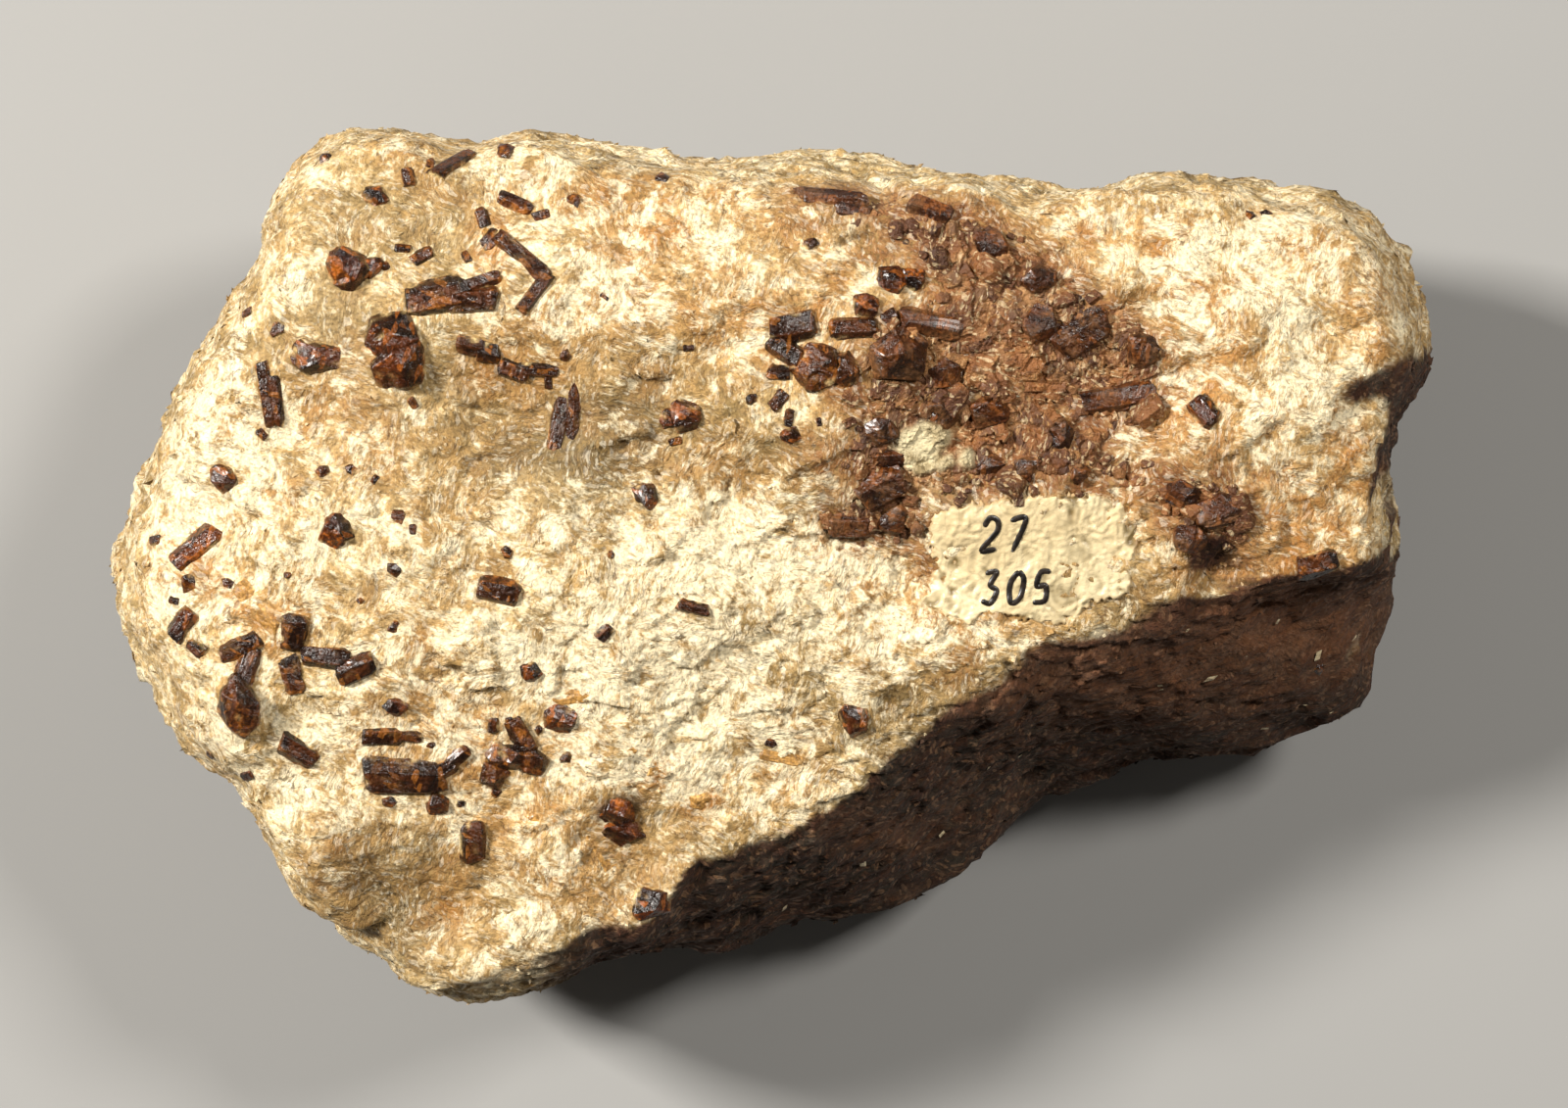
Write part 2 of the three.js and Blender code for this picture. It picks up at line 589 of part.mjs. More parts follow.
function rustyMass() {
  const column = columnOver(MASS_OUTLINE, 0);
  const forms = MASS_CRYSTALS.map((crystal) => crystalSolid({ sunk: MASS_SUNK, ...crystal }, 0));
  const above = joined([column.intersect(surface(MASS_PROUD)), ...forms]).intersect(column);
  return wholePiece(above.subtract(surface(-MASS_DEPTH)).subtract(paintSeat()));
}

function rustySeat() {
  return columnOver(MASS_OUTLINE, MASS_SEAT_GAP).subtract(surface(-MASS_DEPTH - SEAT_GAP));
}

function buildSpecimen() {
  const group = new THREE.Group();
  let stone = bareStone().subtract(paintSeat()).subtract(rustySeat());
  for (const [name, parts] of Object.entries(CRYSTALS)) {
    const crystal = joined(parts.map((part) => crystalSolid(part, 0)));
    stone = stone.subtract(joined(parts.map((part) => crystalSolid(part, SEAT_GAP))));
    const material = name.startsWith("garnet") ? COLOURS.garnet : COLOURS.staurolite;
    group.add(named(name, crystal, material));
  }
  group.add(named("sericite_matrix", wholePiece(stone), COLOURS.sericite));
  group.add(named("rusty_crystal_mass", rustyMass(), COLOURS.rust));
  group.add(named("painted_label", paintCoat(), COLOURS.paint));
  return group;
}

export default buildSpecimen();
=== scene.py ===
import math

import bmesh
import bpy
import numpy as np
from bpy.props import (FloatProperty, FloatVectorProperty, IntProperty, PointerProperty)
from bpy.types import Operator, Panel, PropertyGroup
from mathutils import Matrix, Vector
from mathutils.geometry import delaunay_2d_cdt


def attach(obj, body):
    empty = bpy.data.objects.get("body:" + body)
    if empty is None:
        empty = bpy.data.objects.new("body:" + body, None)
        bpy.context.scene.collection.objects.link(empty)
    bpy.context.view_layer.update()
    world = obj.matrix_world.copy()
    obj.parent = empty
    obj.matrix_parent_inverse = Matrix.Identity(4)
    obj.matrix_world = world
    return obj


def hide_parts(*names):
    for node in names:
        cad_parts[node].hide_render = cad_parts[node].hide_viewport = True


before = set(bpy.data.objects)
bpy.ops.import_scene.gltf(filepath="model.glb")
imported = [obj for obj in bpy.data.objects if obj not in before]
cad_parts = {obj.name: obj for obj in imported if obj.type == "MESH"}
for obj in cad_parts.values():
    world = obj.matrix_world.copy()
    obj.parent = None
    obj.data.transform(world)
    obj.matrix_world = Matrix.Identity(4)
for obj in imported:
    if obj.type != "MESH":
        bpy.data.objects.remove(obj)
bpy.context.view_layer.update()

bl_info = {
    "name": "Sericite Specimen",
    "version": (1, 0, 0),
    "blender": (4, 5, 0),
    "location": "View3D > Sidebar > Specimen",
    "description": "Dresses a hand specimen of sericite with mica flakes, crystals and a label patch",
    "category": "Object",
}

# Places are read from straight above. One pixel of that view is PIXEL mm at the rim's level,
# and things nearer the eye look larger. Lengths are in mm until a mesh is made.
VIEW_MIDDLE = (790, 572)
PICTURE_MIDDLE = (800, 565.5)
PICTURE_WIDTH = 1600
PIXEL = 120 / 1322
RIM_LEVEL = 20
FACE_LEVEL = 42
EYE_ABOVE_RIM = 545
HEART = np.array([0, 0, 22.0])
MM = 0.001

# The widest outline, anticlockwise from the right-hand end
RIM = [
    (1420, 570), (1422, 520), (1418, 470), (1430, 414), (1450, 384), (1451, 352), (1438, 307),
    (1416, 262), (1392, 231), (1360, 207), (1330, 201), (1297, 197), (1230, 188), (1169, 186),
    (1105, 195), (1077, 197), (1026, 184), (960, 181), (890, 173), (831, 169), (760, 171),
    (701, 172), (655, 163), (600, 151), (542, 141), (486, 152), (440, 142), (398, 133),
    (350, 136), (322, 154), (293, 193), (272, 228), (267, 264), (225, 324), (184, 409),
    (153, 479), (134, 546), (130, 590), (140, 649), (169, 699), (211, 768), (253, 802),
    (274, 856), (299, 903), (345, 944), (391, 974), (444, 1005), (502, 1016), (560, 998),
    (627, 973), (690, 970), (735, 975), (796, 948), (848, 943), (918, 931), (971, 899),
    (1009, 860), (1040, 826), (1080, 800), (1137, 781), (1198, 771), (1283, 767), (1332, 747),
    (1386, 722), (1409, 685), (1420, 630),
]

# Where the upper face breaks over into the sides
SHOULDER = [
    (1398, 560), (1400, 500), (1396, 440), (1412, 405), (1428, 365), (1416, 310), (1392, 262),
    (1350, 226), (1290, 214), (1191, 200), (1077, 211), (1000, 201), (918, 188), (831, 182),
    (760, 184), (655, 177), (545, 158), (451, 160), (372, 150), (338, 166), (308, 203),
    (288, 256), (250, 324), (212, 409), (180, 490), (160, 560), (158, 610), (172, 660),
    (214, 730), (252, 778), (290, 836), (318, 884), (362, 920), (414, 948), (456, 972),
    (508, 984), (560, 972), (612, 950), (668, 930), (706, 876), (722, 856), (790, 830),
    (880, 790), (940, 750), (992, 704), (1010, 664), (1060, 648), (1120, 634), (1172, 614),
    (1240, 600), (1320, 590), (1380, 582),
]

# The breaks of the upper face: a place, its level, and its rise per mm to the right and far
BREAKS = [
    ((600, 560), 42.6, 0.0, 0.03),
    ((1210, 325), 43.2, -0.03, -0.36),
    ((1210, 345), 43.2, -0.06, 0.22),
    ((240, 600), 41.4, 0.34, 0.02),
    ((430, 850), 41.6, 0.05, 0.3),
    ((420, 210), 41.8, 0.12, -0.16),
    ((880, 720), 42.4, -0.14, 0.2),
]
BREAK_SOFTNESS = 1.6

# Hollows (above 0) and swells (below 0) of the upper face: from, to, reach in pixels, depth
RELIEF = [
    ((560, 440), (650, 478), 62, 1.8),
    ((760, 525), (920, 588), 58, 1.9),
    ((610, 330), (820, 260), 80, -0.9),
    ((640, 640), (940, 668), 70, -0.7),
    ((470, 385), (500, 420), 42, 1.3),
    ((1010, 380), (1120, 400), 75, 1.7),
    ((930, 470), (990, 460), 45, 0.8),
    ((1244, 584), (1246, 590), 24, 2.6),
    ((390, 905), (450, 945), 46, 1.9),
    ((325, 860), (345, 885), 32, -0.8),
    ((640, 850), (655, 905), 28, 0.7),
    ((545, 880), (600, 950), 40, -1.0),
    ((1340, 338), (1372, 344), 22, 1.2),
    ((1396, 414), (1430, 410), 22, 2.2),
    ((1230, 450), (1330, 430), 46, -0.9),
    ((170, 640), (250, 740), 26, -0.9),
    ((205, 520), (190, 540), 20, 0.8),
    ((1140, 330), (1180, 318), 30, 1.0),
]

# The underside's breaks: a place, its level, and its rise per mm to the right and far
UNDER_BREAKS = [
    ((800, 580), -1.1, 0.01, -0.01),
    ((470, 560), 0.6, -0.36, 0.04),
    ((1130, 560), 0.4, 0.26, 0.03),
    ((760, 330), 0.5, 0.02, 0.42),
    ((860, 760), 0.6, 0.04, -0.32),
]
UNDER_SOFTNESS = 1.6

# Old breaks at the lower corners: the way each faces in plan and how steeply up, in degrees,
# and how far it lies from the heart
CHOPS = [
    (88, -48, 30.5), (128, -30, 43.5), (168, -38, 49), (222, -44, 43), (268, -52, 33),
    (2, -46, 45), (40, -34, 50),
]
CHOP_SOFTNESS = 1.4

# Edges and sides: how round they are, where the stone is widest, and how far it tucks under
EDGE_SOFTNESS = 2.6
FOOT_SOFTNESS = 7
RIM_HEIGHT = 24
RIM_DROP = 14
RIM_DROP_TOWARDS = -0.95
TUCK = 13

# Sheets of mica that crop out on the sides
SHEET_NORMAL = Vector((-0.22, 0.2, 1)).normalized()
SHEET_STEP = 5.2
SHEET_RELIEF = 0.95
SHEET_FADE = np.array([0.1, -0.13, 0.21])
SHEET_BEND = 0.35
SHEET_BEND_RATE = 0.11
SHEET_RISE = 0.8

# Slow waves of the whole surface: how many, how close the first are, how much closer each next
# one is, how far along it starts, and how steep
WAVE_COUNT = 14
WAVE_RATE = 0.22
WAVE_RATIO = 1.13
WAVE_PHASE = 1.7
WAVE_SLOPE = 0.06
GOLDEN_TURN = 2.39996
SHOULDER_LEVEL = FACE_LEVEL - 2

# The stone's rough half sizes, which spread its points evenly
ROUNDNESS = np.array([60, 42, 24.0])

# How far the surface is looked for, along a ray from the heart and down from above
RAY_REACH = (4.0, 90.0)
LEVEL_REACH = (8.0, 52.0)
HALVINGS = 26


# The stone's surface


def seen_from_above(px, py, level):
    """Where a pixel of the view lies, in mm, at a level."""
    nearer = (EYE_ABOVE_RIM + RIM_LEVEL - level) / EYE_ABOVE_RIM
    return (px - VIEW_MIDDLE[0]) * PIXEL * nearer, (VIEW_MIDDLE[1] - py) * PIXEL * nearer


def to_pixels(x, y, level):
    """The pixel of the view at which a point lies."""
    nearer = (EYE_ABOVE_RIM + RIM_LEVEL - level) / EYE_ABOVE_RIM
    return x / (PIXEL * nearer) + VIEW_MIDDLE[0], VIEW_MIDDLE[1] - y / (PIXEL * nearer)


def round_the_heart(places, level):
    """A closed curve as its distance from the heart for each direction in plan."""
    points = np.array([seen_from_above(px, py, level) for px, py in places])
    angles = np.arctan2(points[:, 1], points[:, 0])
    order = np.argsort(angles)
    angles, radii = angles[order], np.hypot(points[:, 0], points[:, 1])[order]
    turn = 2 * np.pi
    knots = np.concatenate([angles[-2:] - turn, angles, angles[:3] + turn])
    reach = np.concatenate([radii[-2:], radii, radii[:3]])
    slopes = np.zeros_like(reach)
    slopes[1:-1] = (reach[2:] - reach[:-2]) / (knots[2:] - knots[:-2])

    def radius(angle):
        i = np.clip(np.searchsorted(knots, angle, side="right") - 1, 1, len(knots) - 3)
        span = knots[i + 1] - knots[i]
        t = (angle - knots[i]) / span
        u = 1 - t
        bend = t * u * span * (slopes[i] * u - slopes[i + 1] * t)
        return reach[i] * u * u * (1 + 2 * t) + reach[i + 1] * t * t * (1 + 2 * u) + bend

    return radius


rim_radius = round_the_heart(RIM, RIM_LEVEL)
shoulder_radius = round_the_heart(SHOULDER, SHOULDER_LEVEL)


def soft_max(a, b, softness):
    near = np.maximum(softness - np.abs(a - b), 0) / softness
    return np.maximum(a, b) + near * near * softness / 4


def soft_min(a, b, softness):
    return -soft_max(-a, -b, softness)


def plane_level(plane, x, y):
    place, level, right, far = plane
    px, py = seen_from_above(*place, level)
    return level + right * (x - px) + far * (y - py)


def relief_at(form, x, y):
    start, end, reach, deep = form
    ax, ay = seen_from_above(*start, FACE_LEVEL)
    bx, by = seen_from_above(*end, FACE_LEVEL)
    dx, dy = bx - ax, by - ay
    held = np.clip(((x - ax) * dx + (y - ay) * dy) / (dx * dx + dy * dy), 0, 1)
    off = np.hypot(x - ax - held * dx, y - ay - held * dy) / (reach * PIXEL)
    return -deep * np.exp(-off * off)


def face_level(x, y):
    level = plane_level(BREAKS[0], x, y)
    for plane in BREAKS[1:]:
        level = soft_min(level, plane_level(plane, x, y), BREAK_SOFTNESS)
    for form in RELIEF:
        level = level + relief_at(form, x, y)
    return level


def under_level(x, y):
    level = plane_level(UNDER_BREAKS[0], x, y)
    for plane in UNDER_BREAKS[1:]:
        level = soft_max(level, plane_level(plane, x, y), UNDER_SOFTNESS)
    return level


def wall_radius(angle, z):
    """The sides lean in from the widest outline to the shoulder, and tuck under below it."""
    drop = np.maximum(0, np.cos(angle - RIM_DROP_TOWARDS)) ** 1.5
    widest = RIM_HEIGHT - RIM_DROP * drop
    rim = rim_radius(angle)
    up = np.clip((z - widest) / (SHOULDER_LEVEL - widest), 0, 1.4)
    lean = np.maximum(rim - shoulder_radius(angle), 0.6) * up ** (1.9 - 0.75 * drop)
    down = np.maximum(widest - z, 0) / widest
    return rim - np.where(z >= widest, lean, TUCK * (1 - 0.35 * drop) * down**2.2)


def lumps(points):
    """Slow waves in directions spread evenly over a sphere."""
    total = np.zeros(len(points))
    for i in range(WAVE_COUNT):
        lift = 1 - (2 * i + 1) / WAVE_COUNT
        level = math.sqrt(1 - lift * lift)
        turn = i * GOLDEN_TURN
        way = np.array([level * math.cos(turn), level * math.sin(turn), lift])
        rate = WAVE_RATE * WAVE_RATIO**i
        total += WAVE_SLOPE / rate * np.sin(rate * (points @ way) + i * WAVE_PHASE)
    return total


def ledges(points):
    """Sheets of mica crop out on the sides as low ledges along their planes."""
    bend = SHEET_BEND * np.sin(SHEET_BEND_RATE * points[:, 0])
    sheet = points @ np.array(SHEET_NORMAL) / SHEET_STEP + bend
    within = sheet - np.floor(sheet)
    shown = (1 + np.sin(points @ SHEET_FADE)) / 2
    rise = np.minimum(within / SHEET_RISE, (1 - within) / (1 - SHEET_RISE))
    return shown * SHEET_RELIEF * (rise - 0.5)


def chop_normal(towards, dip):
    turn, down = math.radians(towards), math.radians(dip)
    level = math.cos(down)
    return np.array([level * math.cos(turn), level * math.sin(turn), math.sin(down)])


def outside(points):
    """Below 0 inside the stone and above 0 outside it, about as far as the surface is."""
    x, y, z = points.T
    over = z - face_level(x, y)
    beyond = np.hypot(x, y) - wall_radius(np.arctan2(y, x), z)
    beneath = under_level(x, y) - z
    side = np.clip((beyond - np.maximum(over, beneath) + 2) / 3, 0, 1)
    broken = soft_max(over, beyond, EDGE_SOFTNESS)
    for towards, dip, out in CHOPS:
        face = (points - HEART) @ chop_normal(towards, dip) - out
        broken = soft_max(broken, face, CHOP_SOFTNESS)
    whole = soft_max(broken, beneath, FOOT_SOFTNESS)
    return whole + lumps(points) + side * ledges(points)


def surface_along(ways):
    """The surface's points along rays from the heart."""
    near, far = (np.full(len(ways), reach) for reach in RAY_REACH)
    for _ in range(HALVINGS):
        middle = (near + far) / 2
        inside = outside(HEART + ways * middle[:, None]) < 0
        near = np.where(inside, middle, near)
        far = np.where(inside, far, middle)
    return HEART + ways * near[:, None]


def on_stone(places):
    """The stone's points that show at these pixels of the view."""
    px, py = np.asarray(places, float).T
    low, high = (np.full(len(px), level) for level in LEVEL_REACH)
    for _ in range(HALVINGS):
        z = (low + high) / 2
        inside = outside(np.column_stack([*seen_from_above(px, py, z), z])) < 0
        low = np.where(inside, z, low)
        high = np.where(inside, high, z)
    return np.column_stack([*seen_from_above(px, py, low), low])


def outward(points, step=0.6):
    """The surface's outward direction at points near it."""
    slope = np.zeros_like(points)
    for axis in range(3):
        shift = np.zeros(3)
        shift[axis] = step
        slope[:, axis] = outside(points + shift) - outside(points - shift)
    return slope / np.linalg.norm(slope, axis=1, keepdims=True)


# Noise


HASH_FACTORS = (73856093, 19349663, 83492791, 7919)
HASH_ROUNDS = ((15, 0x2C1B3C6D), (12, 0x297A2D39))
WORD = 0xFFFFFFFF
TEN_BITS = 1023


def hashed(cells, seed):
    """Three steady values from -1 to 1 for each whole-number cell."""
    mixed = seed * HASH_FACTORS[3]
    for axis in range(3):
        mixed = mixed ^ cells[:, axis] * HASH_FACTORS[axis]
    mixed = mixed & WORD
    for shift, factor in HASH_ROUNDS:
        mixed = ((mixed ^ (mixed >> shift)) * factor) & WORD
    mixed = mixed ^ (mixed >> 15)
    parts = [(mixed >> shift) & TEN_BITS for shift in (0, 10, 20)]
    return np.column_stack(parts) / (TEN_BITS / 2) - 1


NOISE_GAIN = 1.3


def noise(points, size, seed=0):
    """Smooth noise from about -1 to 1 whose lumps are size mm across."""
    scaled = points / size
    cell = np.floor(scaled).astype(np.int64)
    part = scaled - cell
    fade = part**3 * (part * (part * 6 - 15) + 10)
    total = np.zeros(len(points))
    for corner in np.ndindex(2, 2, 2):
        step = np.array(corner)
        weight = np.prod(np.where(step, fade, 1 - fade), axis=1)
        total += weight * np.sum(hashed(cell + step, seed) * (part - step), axis=1)
    return total * NOISE_GAIN


def layered(points, size, seed=0, layers=3):
    """Several sizes of noise laid over each other."""
    return sum(noise(points, size / 2**i, seed + i) / 2**i for i in range(layers))


def plates(points, size, seed=0):
    """Small flat breaks: a height in mm, and a steady value from 0 to 1 for each plate."""
    scaled = points / size
    cell = np.floor(scaled).astype(np.int64)
    nearest = np.full(len(points), 1e9)
    height, value = np.zeros(len(points)), np.zeros(len(points))
    for corner in np.ndindex(3, 3, 3):
        near = cell + np.array(corner) - 1
        away = scaled - near - 0.5 - 0.45 * hashed(near, seed)
        far = np.sum(away * away, axis=1)
        tilt = hashed(near, seed + 1)
        closer = far < nearest
        nearest = np.where(closer, far, nearest)
        height = np.where(closer, np.sum(away * tilt, axis=1) * 0.5 + 0.2 * tilt[:, 0], height)
        value = np.where(closer, 0.5 + 0.5 * tilt[:, 1], value)
    return height * size, value


def flow_angle(points):
    """The swirling direction in which the mica's fibres lie."""
    return 0.5 + 2.2 * noise(points, 16, 5) + 1.1 * noise(points, 6, 9)


def fibre_frame(points, up):
    """Directions along and across the fibres, in the surface."""
    angle = flow_angle(points)
    along = np.column_stack([np.cos(angle), np.sin(angle), np.zeros(len(angle))])
    along -= up * np.sum(along * up, axis=1, keepdims=True)
    along /= np.maximum(np.linalg.norm(along, axis=1, keepdims=True), 1e-6)
    return along, np.cross(up, along)


# Meshes


# How strongly the ball's directions crowd towards the top
TOP_SHARE = 0.64


def unit_sphere(steps):
    """Directions and triangles of a ball of evenly split triangles, denser at the top."""
    ball = bmesh.new()
    bmesh.ops.create_icosphere(ball, subdivisions=1, radius=1)
    corners = np.array([vert.co for vert in ball.verts])
    faces = [[vert.index for vert in face.verts] for face in ball.faces]
    ball.free()
    points, triangles, found = [], [], {}

    def number(key, place):
        if key not in found:
            found[key] = len(points)
            points.append(place)
        return found[key]

    for face in faces:
        a, b, c = corners[face]
        grid = {}
        for i in range(steps + 1):
            for j in range(steps + 1 - i):
                k = steps - i - j
                key = tuple(sorted((face[n], w) for n, w in enumerate((i, j, k)) if w))
                grid[i, j] = number(key, (a * i + b * j + c * k) / steps)
        for i in range(steps):
            for j in range(steps - i):
                triangles.append((grid[i + 1, j], grid[i, j + 1], grid[i, j]))
                if i + j < steps - 1:
                    triangles.append((grid[i + 1, j], grid[i + 1, j + 1], grid[i, j + 1]))
    ways = np.array(points)
    ways /= np.linalg.norm(ways, axis=1, keepdims=True)
    below = (1 - ways[:, 2]) / 2
    height = 1 - 2 * ((1 - TOP_SHARE) * below + TOP_SHARE * below**4)
    level = np.sqrt(np.maximum(1 - height**2, 0))
    across = np.maximum(np.hypot(ways[:, 0], ways[:, 1]), 1e-9)
    ways = np.column_stack([ways[:, 0] / across * level, ways[:, 1] / across * level, height])
    return ways, np.array(triangles)


def make_piece(name, points, faces, material, nodes=(), smooth=True, values=None):
    """A mesh object from points in mm and faces, riding on the stone."""
    mesh = bpy.data.meshes.new(name)
    points = np.asarray(points, np.float32) * MM
    faces = np.asarray(faces, np.int32)
    mesh.vertices.add(len(points))
    mesh.vertices.foreach_set("co", points.ravel())
    mesh.loops.add(faces.size)
    mesh.loops.foreach_set("vertex_index", faces.ravel())
    mesh.polygons.add(len(faces))
    mesh.polygons.foreach_set("loop_start", np.arange(0, faces.size, faces.shape[1], np.int32))
    mesh.update(calc_edges=True)
    mesh.polygons.foreach_set("use_smooth", np.full(len(faces), smooth))
    for key, value in (values or {}).items():
        layer = mesh.attributes.new(key, "FLOAT", "POINT")
        layer.data.foreach_set("value", np.asarray(value, np.float32))
    if mesh.validate(verbose=False):
        raise RuntimeError(name + " has faulty faces")
    mesh.materials.append(material)
    piece = bpy.data.objects.new(name, mesh)
    bpy.context.collection.objects.link(piece)
    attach(piece, "root")
    if nodes:
        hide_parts(*nodes)
    return piece


def in_outline(outline, px, py):
    """True for pixels inside a closed outline."""
    inside = np.zeros(len(px), bool)
    for (x0, y0), (x1, y1) in zip(outline, outline[1:] + outline[:1]):
        crosses = (y0 > py) != (y1 > py)
        at = x0 + (py - y0) * (x1 - x0) / ((y1 - y0) or 1e-9)
        inside ^= crosses & (px < at)
    return inside


def outline_depth(outline, px, py):
    """How many pixels inside an outline each place lies, below 0 outside."""
    nearest = np.full(len(px), 1e9)
    for (x0, y0), (x1, y1) in zip(outline, outline[1:] + outline[:1]):
        dx, dy = x1 - x0, y1 - y0
        held = np.clip(((px - x0) * dx + (py - y0) * dy) / max(dx * dx + dy * dy, 1e-9), 0, 1)
        nearest = np.minimum(nearest, np.hypot(px - x0 - held * dx, py - y0 - held * dy))
    return np.where(in_outline(outline, px, py), nearest, -nearest)


def ramp(value, start, end):
    """0 before start, 1 after end, smooth between."""
    t = np.clip((value - start) / (end - start), 0, 1)
    return t * t * (3 - 2 * t)


# Areas of the upper face, read from the view

MASS_OUTLINE = [
    (806, 197), (846, 195), (892, 203), (920, 204), (955, 211), (985, 222), (1030, 240),
    (1072, 268), (1100, 300), (1140, 318), (1168, 336), (1184, 366), (1182, 404), (1150, 440),
    (1128, 462), (1180, 486), (1250, 492), (1280, 520), (1274, 552), (1240, 556), (1200, 530),
    (1172, 520), (1160, 497), (1100, 492), (1040, 492), (980, 498), (940, 508), (936, 552),
    (886, 554), (844, 548), (846, 524), (862, 500), (850, 470), (872, 430), (880, 398),
    (886, 360), (904, 330), (950, 312), (958, 290), (946, 268), (932, 250), (890, 238),
    (846, 214),
]
PAINT_OUTLINE = [
    (950, 520), (985, 512), (1030, 508), (1075, 503), (1110, 503), (1145, 507), (1160, 523),
    (1164, 540), (1160, 570), (1158, 598), (1150, 610), (1115, 616), (1100, 634), (1078, 640),
    (1050, 636), (1030, 628), (1002, 630), (990, 640), (960, 628), (930, 622), (946, 600),
    (952, 575), (946, 545),
]

# Tinted spots of the matrix: x, y, half width, half height, strength
OCHRE_SPOTS = [
    (1330, 250, 60, 40, 0.6), (1240, 350, 60, 50, 0.6), (1400, 330, 30, 60, 0.6),
    (1290, 430, 60, 30, 0.5), (420, 150, 60, 16, 0.5), (620, 200, 90, 40, 0.6),
    (760, 330, 90, 60, 0.6), (600, 330, 60, 40, 0.4), (360, 440, 90, 50, 0.4),
    (300, 500, 60, 40, 0.3), (400, 620, 120, 50, 0.35), (520, 840, 60, 40, 0.4),
    (1390, 600, 40, 50, 0.5), (720, 480, 60, 30, 0.4), (860, 430, 40, 60, 0.5),
    (201, 557, 40, 34, 0.9), (247, 611, 26, 22, 1.0), (275, 640, 46, 30, 0.8),
    (461, 928, 26, 28, 0.8), (549, 834, 26, 18, 0.8), (500, 244, 22, 26, 0.9),
    (1180, 500, 110, 60, 0.7), (1010, 330, 190, 150, 0.6), (700, 215, 120, 50, 0.6),
    (890, 570, 70, 30, 0.5), (690, 545, 60, 14, 0.5), (780, 800, 60, 30, 0.45),
    (668, 788, 24, 18, 1.0), (713, 817, 24, 18, 0.9), (620, 880, 60, 60, 0.45),
    (530, 380, 60, 40, 0.5), (480, 760, 120, 60, 0.45), (980, 640, 80, 40, 0.5),
    (1380, 470, 50, 120, 0.5), (1150, 250, 90, 40, 0.55), (340, 880, 60, 40, 0.4),
    (1215, 390, 60, 90, 0.8), (1230, 300, 80, 40, 0.6), (700, 260, 120, 60, 0.5),
    (1300, 540, 110, 60, 1.0), (830, 290, 60, 60, 0.6),
]
CREAM_SPOTS = [
    (944, 452, 36, 30, 1.1), (972, 470, 24, 20, 0.9), (985, 232, 16, 10, 0.5),
    (940, 300, 16, 12, 0.6), (1120, 470, 30, 12, 0.4), (1130, 505, 40, 10, 0.5),
    (1090, 360, 16, 10, 0.35), (880, 500, 12, 20, 0.4), (1020, 345, 14, 10, 0.35),
]
# Pale places: paler mica, and painted light on slopes and rims that face the lamps
PALE_AND_LIT_SPOTS = [
    (780, 560, 200, 70, 1.2), (660, 660, 180, 60, 1.1), (900, 650, 110, 40, 1.1),
    (190, 480, 40, 180, 0.9), (230, 370, 30, 100, 0.8), (1260, 280, 150, 60, 0.7),
    (1330, 400, 60, 50, 0.8), (560, 260, 70, 50, 0.6), (540, 950, 40, 50, 0.7),
    (230, 770, 30, 60, 0.8), (300, 560, 120, 60, 0.45), (700, 720, 150, 80, 1.4),
    (840, 690, 90, 50, 0.8), (1280, 245, 70, 30, 0.9), (590, 300, 60, 40, 1.0),
    (330, 780, 60, 60, 0.7), (250, 440, 40, 80, 0.8), (520, 170, 60, 20, 0.7),
]
# Olive-grey places, which also carry painted shade in hollows and along the shoulder
GREY_AND_SHADE_SPOTS = [
    (590, 445, 120, 60, 1.3), (400, 915, 90, 55, 1.2), (500, 385, 70, 45, 0.9),
    (1000, 560, 60, 60, 0.6), (925, 720, 40, 40, 1.0), (980, 690, 30, 40, 1.0),
    (760, 470, 90, 40, 0.6), (420, 215, 110, 60, 0.5), (830, 700, 90, 60, 0.4),
    (640, 330, 80, 50, 0.4), (1300, 560, 90, 40, 0.7), (345, 330, 60, 60, 0.5),
    (650, 870, 30, 60, 0.7), (900, 760, 40, 30, 0.6), (1290, 600, 130, 24, 1.3),
    (1180, 620, 60, 20, 1.2), (470, 400, 120, 60, 0.5), (640, 380, 60, 60, 0.7),
]
WARM_SPOTS = [
    (1180, 690, 150, 40, 1.0), (1300, 640, 110, 44, 1.1), (1010, 700, 40, 40, 0.6),
    (1060, 655, 50, 16, 0.7), (900, 850, 60, 20, 0.4),
]

# Bright flakes on the dark side, coloured white as painted glints
GLINTS = [
    (841, 938), (944, 748), (1127, 648), (1211, 642), (1303, 633), (1344, 668), (1331, 718),
    (1357, 726), (1235, 691), (1180, 700), (1010, 780), (960, 850), (880, 880), (1290, 742),
    (1100, 735), (1040, 770), (1270, 668), (1380, 650), (800, 925), (1390, 700),
]


def spot_strength(spots, px, py):
    total = np.zeros(len(px))
    for x, y, wide, tall, strength in spots:
        off = ((px - x) / wide) ** 2 + ((py - y) / tall) ** 2
        total = np.maximum(total, strength * np.exp(-0.8 * off))
    return total


# The way the dark rind faces, away from the lamps, for the rind's colour is darker stone and
# painted shade together; the columns over which it begins; and how far inside the rusty
# mass's outline, in pixels, its brown halo goes from none to full
RIND_AND_SHADE_WAY = np.array([0.34, -0.9, -0.28])
RIND_AND_SHADE_FROM = (500, 600)
HALO_REACH = (-48, 12)


